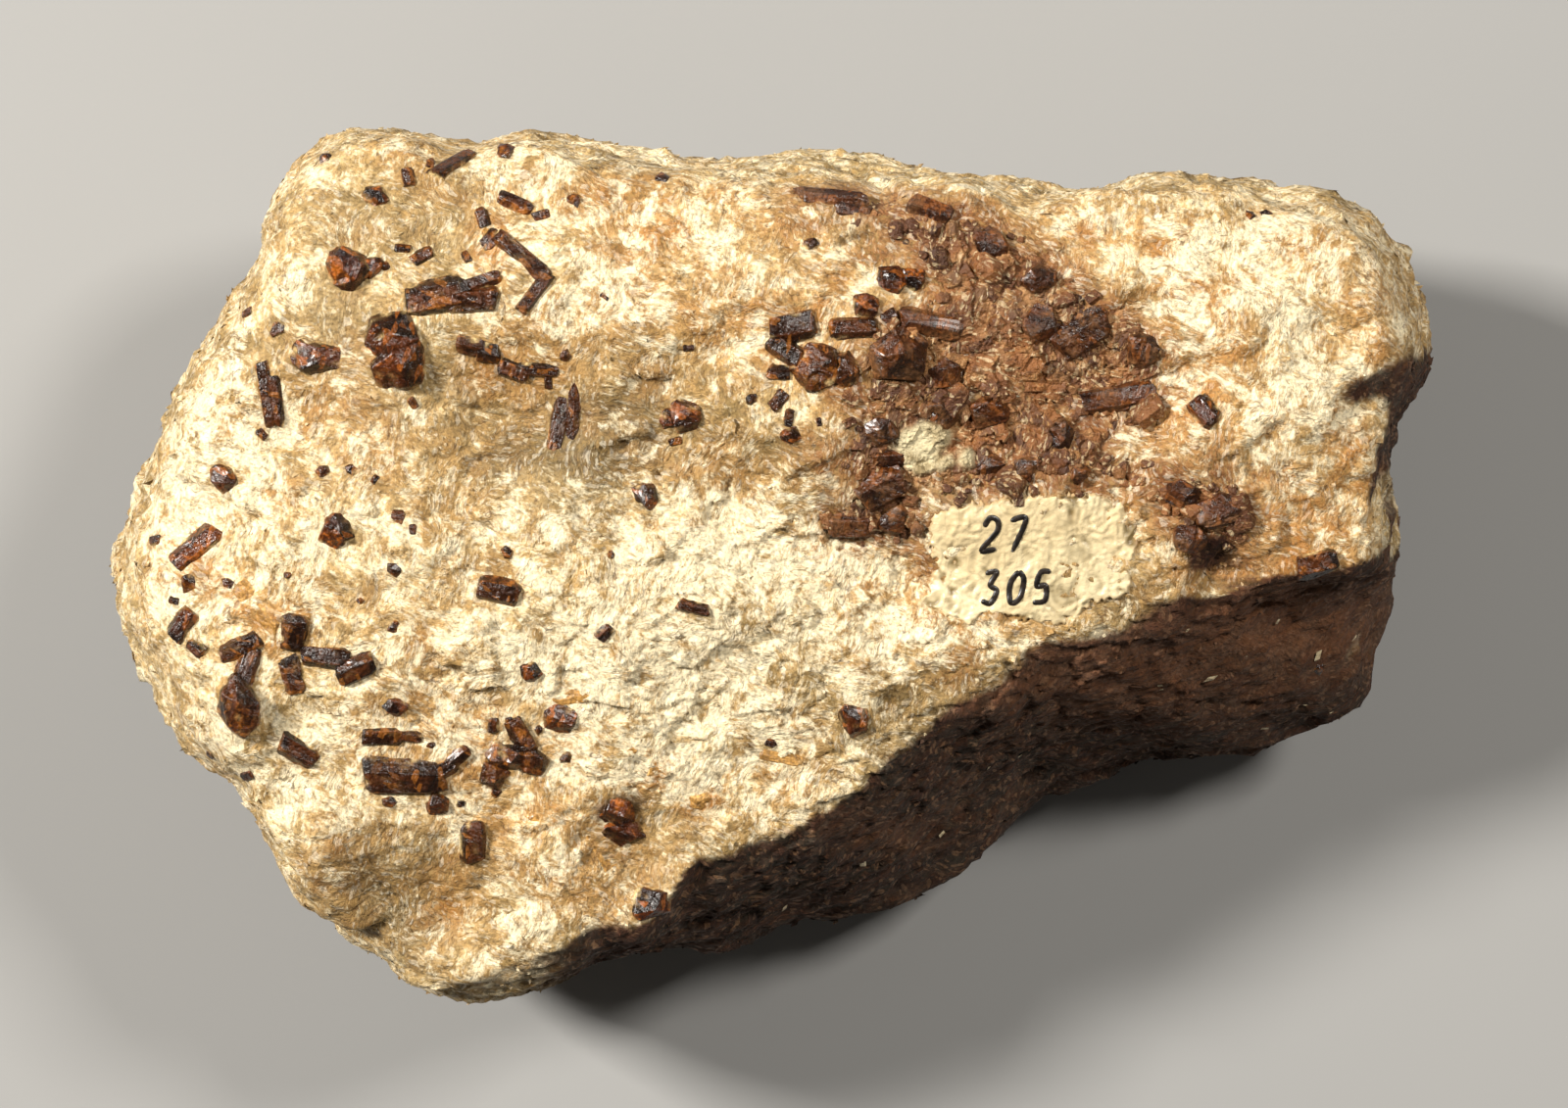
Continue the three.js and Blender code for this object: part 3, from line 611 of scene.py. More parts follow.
def tints(points, normals):
    """Vertex values that say where the stone is stained, pale with painted light, grey with
    painted shade, or in its dark rind with painted shade.
    """
    px, py = to_pixels(*points.T)
    rough = 0.3 * layered(points, 5, 31) + 0.15 * layered(points, 1.6, 37)
    upper = ramp(normals[:, 2], 0.3, 0.7)

    def stained(spots):
        return np.clip(spot_strength(spots, px, py) + rough, 0, 1)

    halo = ramp(outline_depth(MASS_OUTLINE, px, py) + 80 * rough, *HALO_REACH)
    rind_and_shade = ramp(normals @ RIND_AND_SHADE_WAY + 0.3 * rough, 0.16, 0.34) * ramp(px + 60 * rough, *RIND_AND_SHADE_FROM)
    # Faces that look down are counted in the rind as painted shade.
    low = ramp(-normals[:, 2], -0.1, 0.5) * 0.6
    return {
        "ochre": stained(OCHRE_SPOTS) * upper,
        "halo": halo * upper,
        "pale": stained(PALE_AND_LIT_SPOTS) * upper,
        "grey": stained(GREY_AND_SHADE_SPOTS) * upper,
        "rind_and_shade": np.maximum(rind_and_shade, low),
        "warm": stained(WARM_SPOTS),
        "steep": 1 - ramp(np.abs(normals[:, 2]), 0.45, 0.8),
        "plate": plates(points + 0.5 * rough[:, None], 2.2, 66)[1],
    }


# Materials


def colour(text):
    """A hex colour as linear light."""
    parts = [int(text[i:i + 2], 16) / 255 for i in (1, 3, 5)]
    linear = [((p + 0.055) / 1.055) ** 2.4 if p > 0.04045 else p / 12.92 for p in parts]
    return (*linear, 1.0)


def feed(tree, node, values):
    """Links or sets a node's inputs by name or number."""
    for key, value in values.items():
        socket = node.inputs[key]
        if isinstance(value, bpy.types.NodeSocket):
            tree.links.new(value, socket)
        else:
            socket.default_value = value


def add_node(tree, kind, values=None, **settings):
    """Adds a node, sets its properties and feeds its inputs."""
    made = tree.nodes.new(kind)
    for key, value in settings.items():
        setattr(made, key, value)
    feed(tree, made, values or {})
    return made


def mix(tree, factor, first, second, blend="MIX"):
    made = add_node(tree, "ShaderNodeMixRGB", {0: factor, 1: first, 2: second}, blend_type=blend)
    return made.outputs[0]


def calc(tree, operation, first, second=0.0, clamp=False):
    made = add_node(tree, "ShaderNodeMath", {0: first, 1: second}, operation=operation)
    made.use_clamp = clamp
    return made.outputs[0]


def spread(tree, value, low, high, to_low=0.0, to_high=1.0):
    made = add_node(
        tree,
        "ShaderNodeMapRange",
        {"Value": value, "From Min": low, "From Max": high, "To Min": to_low, "To Max": to_high},
        interpolation_type="SMOOTHSTEP",
    )
    return made.outputs[0]


def attribute(tree, name):
    return add_node(tree, "ShaderNodeAttribute", attribute_name=name).outputs["Fac"]


def new_group(name, inputs, outputs):
    """A shader node group with float inputs and their defaults, and float outputs."""
    tree = bpy.data.node_groups.new(name, "ShaderNodeTree")
    for label, default in inputs:
        socket = tree.interface.new_socket(label, in_out="INPUT", socket_type="NodeSocketFloat")
        socket.default_value = default
    for label in outputs:
        tree.interface.new_socket(label, in_out="OUTPUT", socket_type="NodeSocketFloat")
    start = tree.nodes.new("NodeGroupInput")
    end = tree.nodes.new("NodeGroupOutput")
    return tree, start.outputs, end.inputs


def use_group(tree, group, **values):
    made = add_node(tree, "ShaderNodeGroup", node_tree=group)
    feed(tree, made, values)
    return made.outputs


def objects_place(tree):
    return add_node(tree, "ShaderNodeTexCoord").outputs["Object"]


def noise_value(tree, place, scale, detail, roughness=0.5):
    values = {"Vector": place, "Scale": scale, "Detail": detail, "Roughness": roughness}
    return add_node(tree, "ShaderNodeTexNoise", values).outputs["Fac"]


def vector_calc(tree, operation, first, second):
    """A vector sum, difference or product."""
    made = add_node(tree, "ShaderNodeVectorMath", {0: first, 1: second}, operation=operation)
    return made.outputs[0]


# Turns of the two ways in which fibres lie, and of the sheets' edges, each with its stretch
FIBRE_WAYS = ((0.35, (1.0, 2.7, 1.6)), (1.75, (1.0, 2.7, 1.6)), (0.1, (1.0, 1.5, 6.0)))


def swirled(tree, place, swirl):
    """The place pushed about by slow noise, so that fibres swirl."""
    stir = add_node(tree, "ShaderNodeTexNoise", {"Vector": place, "Scale": 140.0, "Detail": 3.0})
    push = vector_calc(tree, "SUBTRACT", stir.outputs["Color"], (0.5, 0.5, 0.5))
    pushed = add_node(tree, "ShaderNodeVectorMath", {0: push, "Scale": swirl}, operation="SCALE")
    return vector_calc(tree, "ADD", place, pushed.outputs[0])


def drawn_out(tree, place, angle, stretch):
    """The place turned and stretched, so that noise on it makes fibres."""
    turned = add_node(
        tree, "ShaderNodeVectorRotate", {"Vector": place, "Angle": angle}, rotation_type="Z_AXIS",
    ).outputs[0]
    return vector_calc(tree, "MULTIPLY", turned, stretch)


def flake_tone(tree, long, scale):
    """A steady value for each small flake."""
    cells = add_node(tree, "ShaderNodeTexVoronoi", {"Vector": long, "Scale": scale}, feature="F1")
    parted = add_node(tree, "ShaderNodeSeparateColor", {0: cells.outputs["Color"]})
    return parted.outputs[0]


def silky_fibres_group():
    """Short swirling fibres that lie in patches of two directions, flecks and thin cracks among
    them, and on steep sides the edges of thin sheets."""
    tree, given, result = new_group(
        "Silky fibres",
        [("Scale", 300.0), ("Swirl", 0.004), ("Steep", 0.0)],
        ["Fibres", "Flecks", "Tone", "Height", "Cracks"],
    )
    place = objects_place(tree)
    moved = swirled(tree, place, given["Swirl"])
    drawn = [drawn_out(tree, moved, angle, stretch) for angle, stretch in FIBRE_WAYS]
    strands = [noise_value(tree, long, given["Scale"], 4.0, 0.66) for long in drawn]
    which = spread(tree, noise_value(tree, place, 260.0, 2.0), 0.46, 0.54)
    upper = mix(tree, which, strands[0], strands[1])
    fibres = mix(tree, given["Steep"], upper, strands[2])
    flake_scale = calc(tree, "MULTIPLY", given["Scale"], 1.5)
    tone = mix(tree, which, *(flake_tone(tree, long, flake_scale) for long in drawn[:2]))
    lines = []
    for long in drawn[:2]:
        wander = noise_value(tree, long, given["Scale"], 2.0)
        lines.append(calc(tree, "ABSOLUTE", calc(tree, "SUBTRACT", wander, 0.47)))
    line = spread(tree, mix(tree, which, lines[0], lines[1]), 0.004, 0.014, 1.0, 0.0)
    shown = spread(tree, noise_value(tree, place, flake_scale, 1.0), 0.5, 0.58)
    height = calc(tree, "ADD", calc(tree, "MULTIPLY", tone, 0.22), fibres)
    tree.links.new(fibres, result["Fibres"])
    tree.links.new(spread(tree, tone, 0.8, 0.92), result["Flecks"])
    tree.links.new(tone, result["Tone"])
    tree.links.new(height, result["Height"])
    tree.links.new(calc(tree, "MULTIPLY", line, shown), result["Cracks"])
    return tree


def mottle_group():
    """Blotches, ragged clouds of every size, fine grain and a little crack-like crazing."""
    tree, given, result = new_group(
        "Mottled grain", [("Scale", 400.0), ("Detail", 4.0)],
        ["Blotch", "Cloud", "Grain", "Craze"],
    )
    place = objects_place(tree)

    def scaled(factor):
        return calc(tree, "MULTIPLY", given["Scale"], factor)

    blotch = noise_value(tree, place, given["Scale"], given["Detail"], 0.6)
    craze = add_node(
        tree, "ShaderNodeTexVoronoi", {"Vector": place, "Scale": scaled(1.7)},
        feature="DISTANCE_TO_EDGE",
    ).outputs["Distance"]
    tree.links.new(spread(tree, blotch, 0.35, 0.65), result["Blotch"])
    tree.links.new(noise_value(tree, place, scaled(0.8), 7.0, 0.74), result["Cloud"])
    tree.links.new(noise_value(tree, place, scaled(6.0), 3.0), result["Grain"])
    tree.links.new(spread(tree, craze, 0.0, 0.08), result["Craze"])
    return tree


def new_material(name, preview):
    material = bpy.data.materials.new(name)
    material.use_nodes = True
    material.diffuse_color = preview
    tree = material.node_tree
    return material, tree, tree.nodes["Principled BSDF"]


def bump(tree, shader, height, distance, strength=1.0, after=None):
    values = {"Height": height, "Distance": distance, "Strength": strength}
    if after is not None:
        values["Normal"] = after
    made = add_node(tree, "ShaderNodeBump", values)
    tree.links.new(made.outputs[0], shader.inputs["Normal"])
    return made.outputs[0]


OLIVE = colour("#887043")
HONEY = colour("#b48d53")
# Olive grey that also stands for painted shade
GREY_AND_SHADE_TONE = colour("#685431")
STAIN_BROWN = colour("#7a4a26")
# The white of the flecks is partly painted glint
FLECK_WHITE_AND_GLINT = colour("#fff6df")
CRACK_BROWNS = (colour("#6b4621"), colour("#5a3a1b"))
# The rind's browns hold painted shade as well as the stone's own dark colour
RIND_AND_SHADE_BROWNS = (colour("#150603"), colour("#31130a"), colour("#5e3622"), colour("#86603f"))
RIND_WARM = colour("#75492e")
FOOT_CREAM = colour("#cdb27c")


def shaded(tree, mask, cloud, weak, strong):
    """A mask made uneven by a cloud."""
    return calc(tree, "MULTIPLY", mask, spread(tree, cloud, 0.4, 0.6, weak, strong))


def schist_ground(tree, cream, plate, mottle, speck):
    """Cream with honey clouds and olive breaks."""
    base = mix(tree, spread(tree, mottle["Cloud"], 0.42, 0.58, 0.0, 0.8), cream, HONEY)
    base = mix(tree, spread(tree, plate, 0.35, 0.0, 0.0, 0.45), base, OLIVE)
    return mix(tree, spread(tree, speck["Cloud"], 0.49, 0.6, 0.0, 0.75), base, OLIVE)


def schist_stains(tree, base, ochre, mottle, speck):
    """Olive-grey with painted shade in hollows and at the shoulder, ochre stains and the brown halo
    round the rusty mass.
    """
    grey = shaded(tree, attribute(tree, "grey"), mottle["Cloud"], 0.95, 0.6)
    base = mix(tree, grey, base, GREY_AND_SHADE_TONE)
    stain = shaded(tree, attribute(tree, "ochre"), speck["Cloud"], 0.4, 0.9)
    base = mix(tree, stain, base, ochre)
    halo = calc(tree, "MULTIPLY", attribute(tree, "halo"),
                spread(tree, speck["Blotch"], 0.1, 0.9, 0.95, 0.6))
    return mix(tree, halo, base, STAIN_BROWN)


def clear_mica(tree, plate, speck, broad):
    """Where the mica is clear and white: more in pale places and under painted light, less in grey
    places, under painted shade and in stained ones.
    """
    pale_and_lit_shift = calc(tree, "SUBTRACT", attribute(tree, "pale"), attribute(tree, "grey"))
    pale_and_lit_shift = calc(tree, "SUBTRACT", pale_and_lit_shift, attribute(tree, "halo"))
    clear = calc(tree, "SUBTRACT", 1.0, mix(tree, 0.45, speck["Cloud"], broad["Fibres"]))
    clear = calc(tree, "ADD", clear, calc(tree, "MULTIPLY", pale_and_lit_shift, 0.09))
    return calc(tree, "ADD", clear, spread(tree, plate, 0.6, 1.0, 0.0, 0.035))


def schist_silk(tree, base, white, clear, fine, mottle):
    """White mica, bright fibres whose sparkle is painted highlight, dull fibres, white flecks that
    are partly painted glints, and the flakes' own tone.
    """
    base = mix(tree, spread(tree, clear, 0.485, 0.6, 0.0, 0.85), base, white)
    # Sparkle on the bright fibres is painted highlight
    sparkle = calc(tree, "MULTIPLY", spread(tree, fine["Fibres"], 0.53, 0.6, 0.0, 0.75),
                   spread(tree, clear, 0.44, 0.56, 0.25, 1.0))
    base = mix(tree, sparkle, base, white)
    base = mix(tree, spread(tree, fine["Fibres"], 0.47, 0.38, 0.0, 0.6), base,
               mix(tree, mottle["Blotch"], HONEY, OLIVE))
    # White flecks, partly painted glints
    base = mix(tree, calc(tree, "MULTIPLY", fine["Flecks"], 0.25), base, FLECK_WHITE_AND_GLINT)
    return mix(tree, spread(tree, attribute(tree, "tone"), 0.75, 1.0, 0.0, 0.5), base, white)


def schist_rind_and_shade(tree, base, broad, fine):
    """The dark brown rind of the long side, with painted shade where it faces away from the lamps."""
    dark, red, brown, sparkle_fleck = RIND_AND_SHADE_BROWNS
    rind_and_shade = mix(tree, spread(tree, broad["Fibres"], 0.38, 0.62), dark, red)
    rind_and_shade = mix(tree, spread(tree, fine["Fibres"], 0.53, 0.66, 0.0, 0.85), rind_and_shade, brown)
    # Light flecks in the rind are painted sparkle
    rind_and_shade = mix(tree, calc(tree, "MULTIPLY", fine["Flecks"], 0.5), rind_and_shade, sparkle_fleck)
    rind_and_shade = mix(tree, calc(tree, "MULTIPLY", attribute(tree, "warm"), 0.7), rind_and_shade, RIND_WARM)
    return mix(tree, calc(tree, "MULTIPLY", attribute(tree, "rind_and_shade"), 0.96), base, rind_and_shade)


def schist_gloss(tree, fine):
    """How rough it is: bright flakes are glossy and the rind is dull."""
    gloss = spread(tree, fine["Tone"], 0.3, 1.0, 0.62, 0.26)
    gloss = calc(tree, "SUBTRACT", gloss, calc(tree, "MULTIPLY", attribute(tree, "tone"), 0.1))
    dull = calc(tree, "MULTIPLY", attribute(tree, "rind_and_shade"), 0.32)
    return calc(tree, "ADD", gloss, dull, clamp=True)


def mica_schist(groups, settings):
    """Cream silky schist with white and honey flecks and painted sparkle, ochre stains, olive-grey
    patches with painted shade in hollows, painted light on slopes that face the lamps, and a
    brown rind that carries painted shade. The flakes' own tone makes some of them brighter."""
    cream, white, ochre = ((*tone, 1) for tone in (settings.cream, settings.white, settings.ochre))
    material, tree, shader = new_material("Silky mica schist", cream)
    steep, plate = attribute(tree, "steep"), attribute(tree, "plate")
    broad = use_group(tree, groups["fibres"], Scale=260.0, Swirl=0.007, Steep=steep)
    fine = use_group(tree, groups["fibres"], Scale=900.0, Swirl=0.004, Steep=steep)
    mottle = use_group(tree, groups["mottle"], Scale=120.0, Detail=6.0)
    speck = use_group(tree, groups["mottle"], Scale=430.0, Detail=6.0)
    base = schist_ground(tree, cream, plate, mottle, speck)
    base = schist_stains(tree, base, ochre, mottle, speck)
    clear = clear_mica(tree, plate, speck, broad)
    base = schist_silk(tree, base, white, clear, fine, mottle)
    base = schist_rind_and_shade(tree, base, broad, fine)
    for group, share, tone in zip((fine, broad), (0.45, 0.6), CRACK_BROWNS):
        base = mix(tree, calc(tree, "MULTIPLY", group["Cracks"], share), base, tone)
    base = mix(tree, 1.0, base, spread(tree, speck["Grain"], 0.36, 0.54, 0.68, 1.05), "MULTIPLY")
    tree.links.new(base, shader.inputs["Base Color"])
    tree.links.new(schist_gloss(tree, fine), shader.inputs["Roughness"])
    first = bump(tree, shader, broad["Fibres"], 0.0009, 0.55)
    second = bump(tree, shader, speck["Cloud"], 0.0007, 0.5, first)
    bump(tree, shader, fine["Height"], 0.00032, 0.7, second)
    shader.inputs["Specular IOR Level"].default_value = 0.3
    shader.inputs["Sheen Weight"].default_value = 0.02
    return material


# Each kind of crystal: its dark, warm, glowing and dusty tone, and how rough it is
CRYSTAL_LOOKS = {
    "staurolite": ("Staurolite brown", "#140702", "#4d260c", "#9a5c20", "#a87f48", 0.17),
    "garnet": ("Garnet brown", "#150702", "#52260c", "#a85c1c", "#a87c46", 0.14),
    "rusty": ("Rusty staurolite", "#1e0c05", "#4c270f", "#854c1f", "#8c5f37", 0.2),
    "honey": ("Honey crystal", "#9c7138", "#bd8e4c", "#d9ab68", "#d8bd8b", 0.3),
}


def crystal_look(groups, kind):
    """Resinous crystal whose faces differ in tone, with mica clinging to its foot."""
    name, *tones, gloss = CRYSTAL_LOOKS[kind]
    dark, warm, glow, dust = (colour(tone) for tone in tones)
    material, tree, shader = new_material(name, dark)
    grain = use_group(tree, groups["mottle"], Scale=520.0, Detail=4.0)
    wide = use_group(tree, groups["mottle"], Scale=230.0, Detail=5.0)
    cells = use_group(tree, groups["fibres"], Scale=560.0, Swirl=0.002, Steep=0.0)
    face = attribute(tree, "face")
    base = mix(tree, spread(tree, face, 0.3, 0.75), dark, warm)
    base = mix(tree, calc(tree, "MULTIPLY", wide["Blotch"], 0.45), base, warm)
    lit = calc(tree, "MULTIPLY", spread(tree, face, 0.72, 1.0, 0.0, 0.8),
               spread(tree, wide["Grain"], 0.47, 0.62), clamp=True)
    base = mix(tree, lit, base, glow)
    base = mix(tree, spread(tree, cells["Tone"], 0.3, 0.1, 0.0, 0.7), base, dark)
    base = mix(tree, spread(tree, cells["Tone"], 0.78, 0.92, 0.0, 0.5), base, glow)
    dusty = calc(tree, "MULTIPLY", spread(tree, grain["Cloud"], 0.46, 0.6),
                 attribute(tree, "dust"), clamp=True)
    base = mix(tree, dusty, base, dust)
    foot = calc(tree, "MULTIPLY", attribute(tree, "foot"),
                spread(tree, wide["Cloud"], 0.42, 0.52), clamp=True)
    base = mix(tree, foot, base, FOOT_CREAM)
    base = mix(tree, 1.0, base, spread(tree, grain["Grain"], 0.35, 0.65, 0.6, 1.25), "MULTIPLY")
    tree.links.new(base, shader.inputs["Base Color"])
    rough = spread(tree, grain["Grain"], 0.3, 0.7, gloss, gloss + 0.22)
    tree.links.new(calc(tree, "ADD", rough, calc(tree, "MULTIPLY", dusty, 0.35)),
                   shader.inputs["Roughness"])
    first = bump(tree, shader, cells["Height"], 0.00036, 0.9)
    bump(tree, shader, grain["Grain"], 0.0001, 0.7, first)
    shader.inputs["Specular IOR Level"].default_value = 0.42
    shader.inputs["Coat Weight"].default_value = 0.15
    shader.inputs["Coat Roughness"].default_value = 0.15
    return material


def rust_crust(groups):
    """Iron-stained granular crust with remnants of cream mica."""
    material, tree, shader = new_material("Rusty crystal crust", colour("#7d4a26"))
    grain = use_group(tree, groups["mottle"], Scale=520.0, Detail=5.0)
    wide = use_group(tree, groups["mottle"], Scale=190.0, Detail=5.0)
    fibres = use_group(tree, groups["fibres"], Scale=1100.0, Swirl=0.004, Steep=0.0)
    tone = attribute(tree, "tone")
    base = mix(tree, wide["Blotch"], colour("#522b0e"), colour("#8a5628"))
    base = mix(tree, spread(tree, tone, 0.5, 0.95, 0.0, 0.9), base, colour("#a97a4a"))
    base = mix(tree, spread(tree, tone, 0.35, 0.05, 0.0, 0.8), base, colour("#2c1405"))
    base = mix(tree, spread(tree, grain["Blotch"], 0.5, 1.0, 0.0, 0.6), base,
               colour("#3a1d0b"))
    base = mix(tree, spread(tree, fibres["Fibres"], 0.54, 0.68, 0.0, 0.65), base,
               colour("#c69a66"))
    base = mix(tree, attribute(tree, "cream"), base,
               mix(tree, grain["Blotch"], colour("#d3c49c"), colour("#98845c")))
    base = mix(tree, calc(tree, "MULTIPLY", fibres["Flecks"], 0.4), base, colour("#ecd4a6"))
    tree.links.new(base, shader.inputs["Base Color"])
    tree.links.new(spread(tree, fibres["Tone"], 0.5, 1.0, 0.6, 0.26),
                   shader.inputs["Roughness"])
    first = bump(tree, shader, grain["Blotch"], 0.0004, 0.8)
    bump(tree, shader, fibres["Height"], 0.0003, 0.8, first)
    return material


def cream_lacquer(groups, settings):
    """Old cream lacquer, wrinkled and scuffed, with painted shade in the troughs between its folds,
    and browner towards its edge.
    """
    material, tree, shader = new_material("Cream lacquer", (*settings.lacquer, 1))
    grain = use_group(tree, groups["mottle"], Scale=380.0, Detail=5.0)
    wide = use_group(tree, groups["mottle"], Scale=130.0, Detail=4.0)
    edge_browning = attribute(tree, "edge_browning")
    base = mix(tree, calc(tree, "MULTIPLY", wide["Blotch"], 0.5), (*settings.lacquer, 1),
               colour("#c6ab7b"))
    # Painted shade in the troughs of the wrinkles
    crease_shade = calc(tree, "MULTIPLY", attribute(tree, "wrinkle_shade"), 1.1, clamp=True)
    base = mix(tree, crease_shade, base, colour("#75623c"))
    base = mix(tree, calc(tree, "MULTIPLY", edge_browning, 0.75), base, colour("#a98250"))
    base = mix(tree, 1.0, base, spread(tree, grain["Craze"], 0.0, 1.0, 0.88, 1.0), "MULTIPLY")
    tree.links.new(base, shader.inputs["Base Color"])
    tree.links.new(spread(tree, grain["Grain"], 0.3, 0.7, 0.28, 0.5),
                   shader.inputs["Roughness"])
    bump(tree, shader, grain["Blotch"], 0.0002, 0.5)
    return material


def black_ink(groups):
    material, tree, shader = new_material("Black ink", colour("#100c0a"))
    grain = use_group(tree, groups["mottle"], Scale=1400.0, Detail=3.0)
    base = mix(tree, grain["Blotch"], colour("#0d0a08"), colour("#2a211a"))
    tree.links.new(base, shader.inputs["Base Color"])
    tree.links.new(spread(tree, grain["Grain"], 0.3, 0.7, 0.3, 0.5), shader.inputs["Roughness"])
    return material


def pale_floor(tone):
    material, tree, shader = new_material("Pale floor", (*tone, 1))
    shade = spread(tree, noise_value(tree, objects_place(tree), 9.0, 2.0), 0.3, 0.7, 0.97, 1.0)
    tree.links.new(mix(tree, 1.0, (*tone, 1), shade, "MULTIPLY"), shader.inputs["Base Color"])
    shader.inputs["Roughness"].default_value = 0.75
    return material


def shared_groups():
    """The shader groups, made on first use."""
    makers = {
        "fibres": ("Silky fibres", silky_fibres_group),
        "mottle": ("Mottled grain", mottle_group),
    }
    return {
        key: bpy.data.node_groups.get(name) or make() for key, (name, make) in makers.items()
    }


# Crystals: kind, place, length and width in pixels, turn in degrees, share of height sunk


def prism(at, long, wide, turn, sunk=0.2):
    return {"kind": "prism", "at": at, "long": long, "wide": wide, "turn": turn, "sunk": sunk}


def grain(at, long, wide, turn=0, sunk=0.2):
    return {"kind": "grain", "at": at, "long": long, "wide": wide, "turn": turn, "sunk": sunk}


CRYSTALS = {
    "staurolite_far_rim": [prism((463, 167), 50, 19, 35)],
    "garnet_far_left": [grain((383, 200), 24, 18, -25)],
    "staurolite_by_rim": [prism((526, 207), 31, 15, -25)],
    "staurolite_dark_blade": [prism((533, 261), 64, 16, -40), prism((546, 299), 42, 11, 52)],
    "garnet_three_cornered": [grain((355, 272), 44, 44, 20), grain((378, 272), 30, 18, 10)],
    "staurolite_ridge_group": [
        prism((447, 303), 56, 34, 12), prism((484, 305), 44, 24, 6), prism((492, 287), 36, 13, 18),
    ],
    "garnet_largest": [grain((398, 342), 56, 56, 30), grain((408, 370), 60, 54, -10)],
    "garnet_pointed": [grain((321, 364), 50, 37, -8)],
    "staurolite_upright_pair": [prism((272, 402), 57, 11, -82), prism((281, 408), 46, 12, -85)],
    "garnet_left": [grain((228, 488), 26, 27, 15)],
    "staurolite_broken_row": [prism((482, 354), 26, 16, -12), prism((499, 361), 18, 17, -10)],
    "staurolite_rusty_row": [prism((524, 378), 26, 20, -20), prism((548, 377), 36, 13, -4)],
    "staurolite_twin_blades": [prism((586, 420), 86, 15, 88), prism((571, 431), 54, 15, 80)],
    "staurolite_speckled_group": [
        prism((811, 334), 42, 29, 12), prism((803, 358), 34, 22, -35),
        grain((834, 375), 52, 46, 10), grain((864, 376), 26, 36, 0),
    ],
    "garnet_pair": [grain((911, 284), 28, 30, 60), grain((932, 282), 24, 24, 0)],
    "garnet_by_pair": [grain((883, 311), 22, 26, 80)],
    "staurolite_level_bar": [prism((872, 334), 42, 18, 2)],
    "garnet_stalk_lower": [grain((806, 444), 18, 17, 0)],
    "garnet_centre": [grain((699, 424), 32, 32, 15), grain((683, 427), 18, 17, 0)],
    "garnet_six_sided": [grain((659, 506), 24, 26, 40)],
    "garnet_dark": [grain((345, 541), 38, 32, 10)],
    "staurolite_short": [prism((510, 602), 37, 27, -12)],
    "garnet_near_left": [prism((186, 637), 28, 20, 60)],
    "staurolite_left_chain": [
        prism((247, 660), 38, 20, 24), prism((252, 681), 50, 22, 72),
        grain((246, 718), 40, 62, 10),
    ],
    "garnet_left_patch": [prism((201, 557), 50, 24, 38)],
    "staurolite_red": [prism((301, 645), 30, 26, 80)],
    "staurolite_grey_column": [prism((299, 690), 34, 17, -78)],
    "staurolite_wedge": [prism((333, 670), 42, 20, -6), prism((363, 682), 34, 23, 22)],
    "garnet_small_right": [grain((542, 686), 21, 17, 0)],
    "garnet_granular": [grain((572, 734), 34, 27, -25)],
    "staurolite_winged": [prism((391, 752), 34, 19, 2), prism((416, 751), 24, 10, -8)],
    "garnet_on_stem": [grain((404, 721), 22, 18, 0)],
    "staurolite_tabular": [prism((305, 767), 38, 22, -30)],
    "staurolite_largest": [
        prism((412, 793), 74, 35, -2), prism((452, 785), 28, 15, 30),
        prism((467, 773), 24, 12, 40),
    ],
    "garnet_round": [grain((447, 821), 21, 21, 0)],
    "staurolite_barrel": [prism((482, 859), 36, 25, 88)],
    "staurolite_crumbled_group": [
        prism((531, 752), 36, 20, -60), grain((519, 772), 42, 34, 0),
        grain((544, 776), 36, 30, 0), grain((504, 792), 34, 24, -30),
    ],
    "garnet_lower_pair": [grain((630, 828), 38, 32, -10), grain((636, 848), 48, 28, -5)],
    "garnet_on_edge": [grain((664, 922), 40, 32, 15)],
    "garnet_by_shoulder": [grain((871, 734), 28, 37, 5)],
    "staurolite_needle": [prism((708, 620), 26, 9, -15, sunk=0)],
    "garnet_right": [prism((1229, 420), 27, 20, -50)],
    "staurolite_right_end": [prism((1344, 575), 36, 24, 15)],
}

# Small crystals and stubs: x, y, size
STUBS = [
    (417, 180, 16), (440, 166, 12), (332, 161, 15), (553, 220, 14), (585, 204, 16),
    (493, 222, 16), (500, 244, 20), (411, 253, 12), (431, 261, 18), (253, 318, 10),
    (283, 336, 14), (330, 481, 13), (359, 479, 11), (577, 363, 12), (676, 182, 17),
    (828, 248, 13), (908, 322, 12), (795, 409, 17), (805, 426, 14), (795, 381, 18),
    (407, 527, 14), (402, 581, 17), (518, 564, 12), (192, 595, 18), (402, 640, 13),
    (200, 661, 16), (397, 819, 13), (578, 773, 12), (787, 759, 10), (1346, 683, 15),
    (618, 646, 14), (253, 791, 13), (516, 153, 20), (392, 271, 11), (267, 443, 9),
    (422, 411, 9), (383, 489, 7), (617, 303, 7), (703, 355, 8), (767, 407, 11),
    (836, 430, 6), (421, 540, 8), (624, 566, 7), (232, 595, 11), (178, 613, 9),
    (159, 551, 12), (294, 587, 8), (368, 613, 6), (504, 740, 12), (507, 808, 11),
    (215, 770, 12), (440, 760, 8), (520, 735, 9), (550, 745, 9), (470, 820, 8),
    (690, 450, 10), (560, 390, 10), (476, 262, 9), (1292, 218, 12), (1276, 219, 10),
]

# Pale and honey-brown crystals that hardly stand out of the stone
HONEY_CRYSTALS = [
    grain((668, 788), 24, 20, 10, 0.42), grain((713, 817), 28, 22, 0, 0.42),
    prism((797, 774), 44, 18, -12, 0.4), prism((590, 711), 50, 18, 8, 0.4),
    prism((612, 862), 84, 34, -64, 0.42), prism((262, 622), 60, 22, -50, 0.4),
    grain((549, 834), 22, 16, 0, 0.4), grain((461, 928), 26, 24, 30, 0.42),
    prism((500, 243), 26, 14, -60, 0.36), prism((640, 770), 22, 10, 30, 0.4),
]

